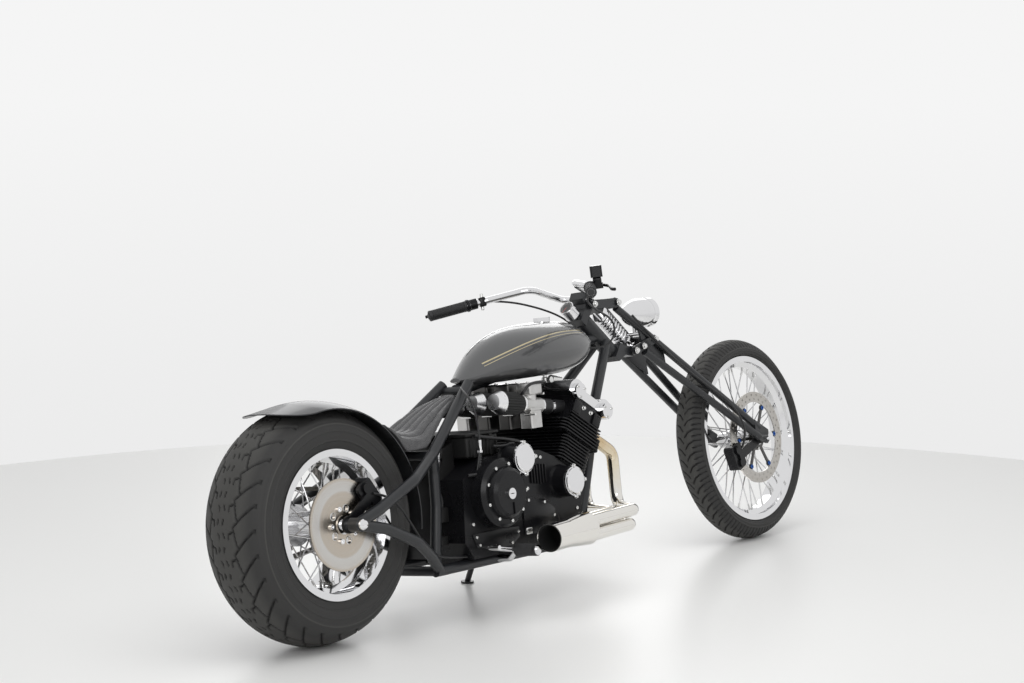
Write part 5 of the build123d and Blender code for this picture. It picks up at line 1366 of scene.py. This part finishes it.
bracket_corners = [(436, 498), (458, 490), (462, 470), (444, 432)]
bracket_corners += [(424, 398), (418, 412), (424, 446), (424, 484)]
settled(plate(bracket_corners, -92, 4, 1.2), "post_bracket", "frame", chrome)
relays = [rounded_box((0.034, 0.030, 0.042), mm(420, -101, 300), 0.004)]
relays.append(rounded_box((0.030, 0.024, 0.026), mm(416, -98, 226), 0.003))
settled(joined(relays), "relay_boxes", "frame", dull_paint)
tray = [rounded_box((0.138, 0.284, 0.062), mm(581, 0, 480), 0.008)]
tray.append(rounded_box((0.144, 0.290, 0.010), mm(581, 0, 515), 0.004))
tray += [rounded_box((0.012, 0.288, 0.066), mm(x, 0, 481), 0.003) for x in (545, 617)]
tray += [rounded_box((0.004, 0.290, 0.050), mm(x, 0, 477), 0.001) for x in (525, 565, 581, 597, 637)]
settled(joined(tray), "electrics_box", "frame", dull_paint)
gear_corners = [(700, 204), (806, 196), (838, 226), (846, 262), (800, 296), (722, 312), (700, 286)]
low_corners = [(470, 236), (486, 196), (560, 182), (640, 182), (676, 204), (676, 232), (560, 238)]
covers = [plate(gear_corners, -167, 6, 2), plate(low_corners, -166.5, 5, 2)]
settled(joined(covers), "gear_covers", "frame", engine_paint)
gear_places = ((708, 212), (802, 204), (836, 244), (796, 288), (724, 302))
low_places = ((484, 226), (496, 202), (562, 190), (636, 190), (668, 218))
cover_screws = [mm(x, -170, z) for x, z in gear_places] + [mm(x, -169, z) for x, z in low_places]
cover_screws = screws_at(socket_screw, cover_screws, RIGHT, 0.0046, 0.0045)
settled(cover_screws, "gear_cover_screws", "frame", zinc)

# %% [markdown]
# ## Hoses and cables
# Each hose is one smooth line between two fittings. The fuel hose arches over the carburettors. The brake
# hoses follow the fork and the rear stay. The clutch cable drops to its arm on the right of the gearbox,
# and a short loom joins the bracket to a relay. The two cables from the bars are parked with the bars as
# they stand turned, and stay fixed there.

# %% Hoses


def route_of(points):
    """Points of the smooth line that a cable follows."""
    line = smooth_line(points)
    bpy.context.view_layer.update()
    mesh = bpy.data.meshes.new_from_object(line.evaluated_get(bpy.context.evaluated_depsgraph_get()))
    places = [vertex.co.copy() for vertex in mesh.vertices]
    bpy.data.objects.remove(line)
    return places


def declared(piece, places):
    length = sum((b - a).length for a, b in zip(places, places[1:]))
    print(piece.name, round(length, 3), "m")


def hose(name, body, diameter, points):
    points = [mm(*point) for point in points]
    places = [PLACES[body] @ place for place in route_of(points)]
    piece = settled(swept(points, diameter / 2), name, body, hose_rubber, angle=60)
    declared(piece, places)


def crossing_cable(name, diameter, points):
    """A control cable from the bars to the frame, parked with the bars as they stand turned and fixed there.
    """
    places = [STEERED @ place for place in route_of(points)]
    piece = swept(points, diameter / 2)
    parked(piece, STEERED, name, hose_rubber, 60)
    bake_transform(piece)
    declared(piece, places)


fuel_route = [(790, -127, 604), (772, -140, 606), (766, -160, 620), (790, -163, 640)]
fuel_route += [(860, -163, 640), (915, -120, 632), (945, -70, 626), (985, -62, 625)]
hose("fuel_hose", "frame", 0.009, fuel_route)
rear_route = [(100, -153, 402), (150, -160, 390), (215, -146, 345), (262, -150, 268)]
rear_route += [(330, -135, 196), (420, -139, 176), (520, -140, 170)]
hose("rear_brake_hose", "frame", 0.007, rear_route)
arm_route = [(600, -60, 650), (545, -120, 640), (520, -171, 612), (536, -171, 540)]
arm_route += [(535, -171, 480), (520, -171, 430), (508, -168, 392)]
hose("clutch_cable", "frame", 0.0065, arm_route)
fork_route = [(1455, -62, 800), (1600, -70, 672), (1770, -96, 545), (1880, -118, 470)]
fork_route += [(1930, -124, 392), (1935, -112, 340), (1938, -96, 318)]
hose("front_brake_hose", "steering", 0.0075, fork_route)
throttle_route = [(1090, -150, 868), (1210, -96, 832), (1318, -84, 796), (1336, -72, 742)]
throttle_route += [(1290, -56, 706), (1240, -30, 716)]
throttle_points = [on_bar(-1, 136, 14, -4), *(mm(*point) for point in throttle_route)]
crossing_cable("throttle_cable", 0.0062, throttle_points)
clutch_route = [(1100, 176, 900), (1240, 112, 852), (1330, 86, 800), (1340, 74, 744)]
clutch_route += [(1292, 56, 706), (1240, 30, 716)]
clutch_points = [on_bar(1, 158, 20, 4), *(mm(*point) for point in clutch_route)]
crossing_cable("clutch_lead", 0.0065, clutch_points)
loom_route = [(430, -96, 470), (424, -102, 430), (414, -100, 380), (430, -104, 340), (424, -102, 318)]
hose("wiring_loom", "frame", 0.008, loom_route)

# %% Cable ends
barrel_end = [(0, 0), (0, 0.0055), (0.03, 0.0055), (0.034, 0.0035), (0.034, 0)]
adjuster = [spun(barrel_end, mm(535.5, -171, 500), DOWN, 16)]
adjuster.append(spun(rod(0, 0.006, 0.008), mm(535, -171, 470), DOWN, 6))
settled(joined(adjuster), "cable_adjuster", "frame", chrome)
boot = [(0, 0.0034), *ringed(0.003, 11, 0.0058, 0.0014), (0.048, 0.0034)]
settled(spun(boot, mm(533, -171, 462), (-0.2, 0, -0.98), 16), "cable_boot", "frame", grip_rubber)
arm = [rounded_box((0.012, 0.008, 0.070), mm(508, -168.5, 360), 0.003)]
arm.append(spun(rod(0, 0.012, 0.012), mm(508, -165.3, 326), RIGHT, 24))
settled(joined(arm), "clutch_arm", "frame", zinc)
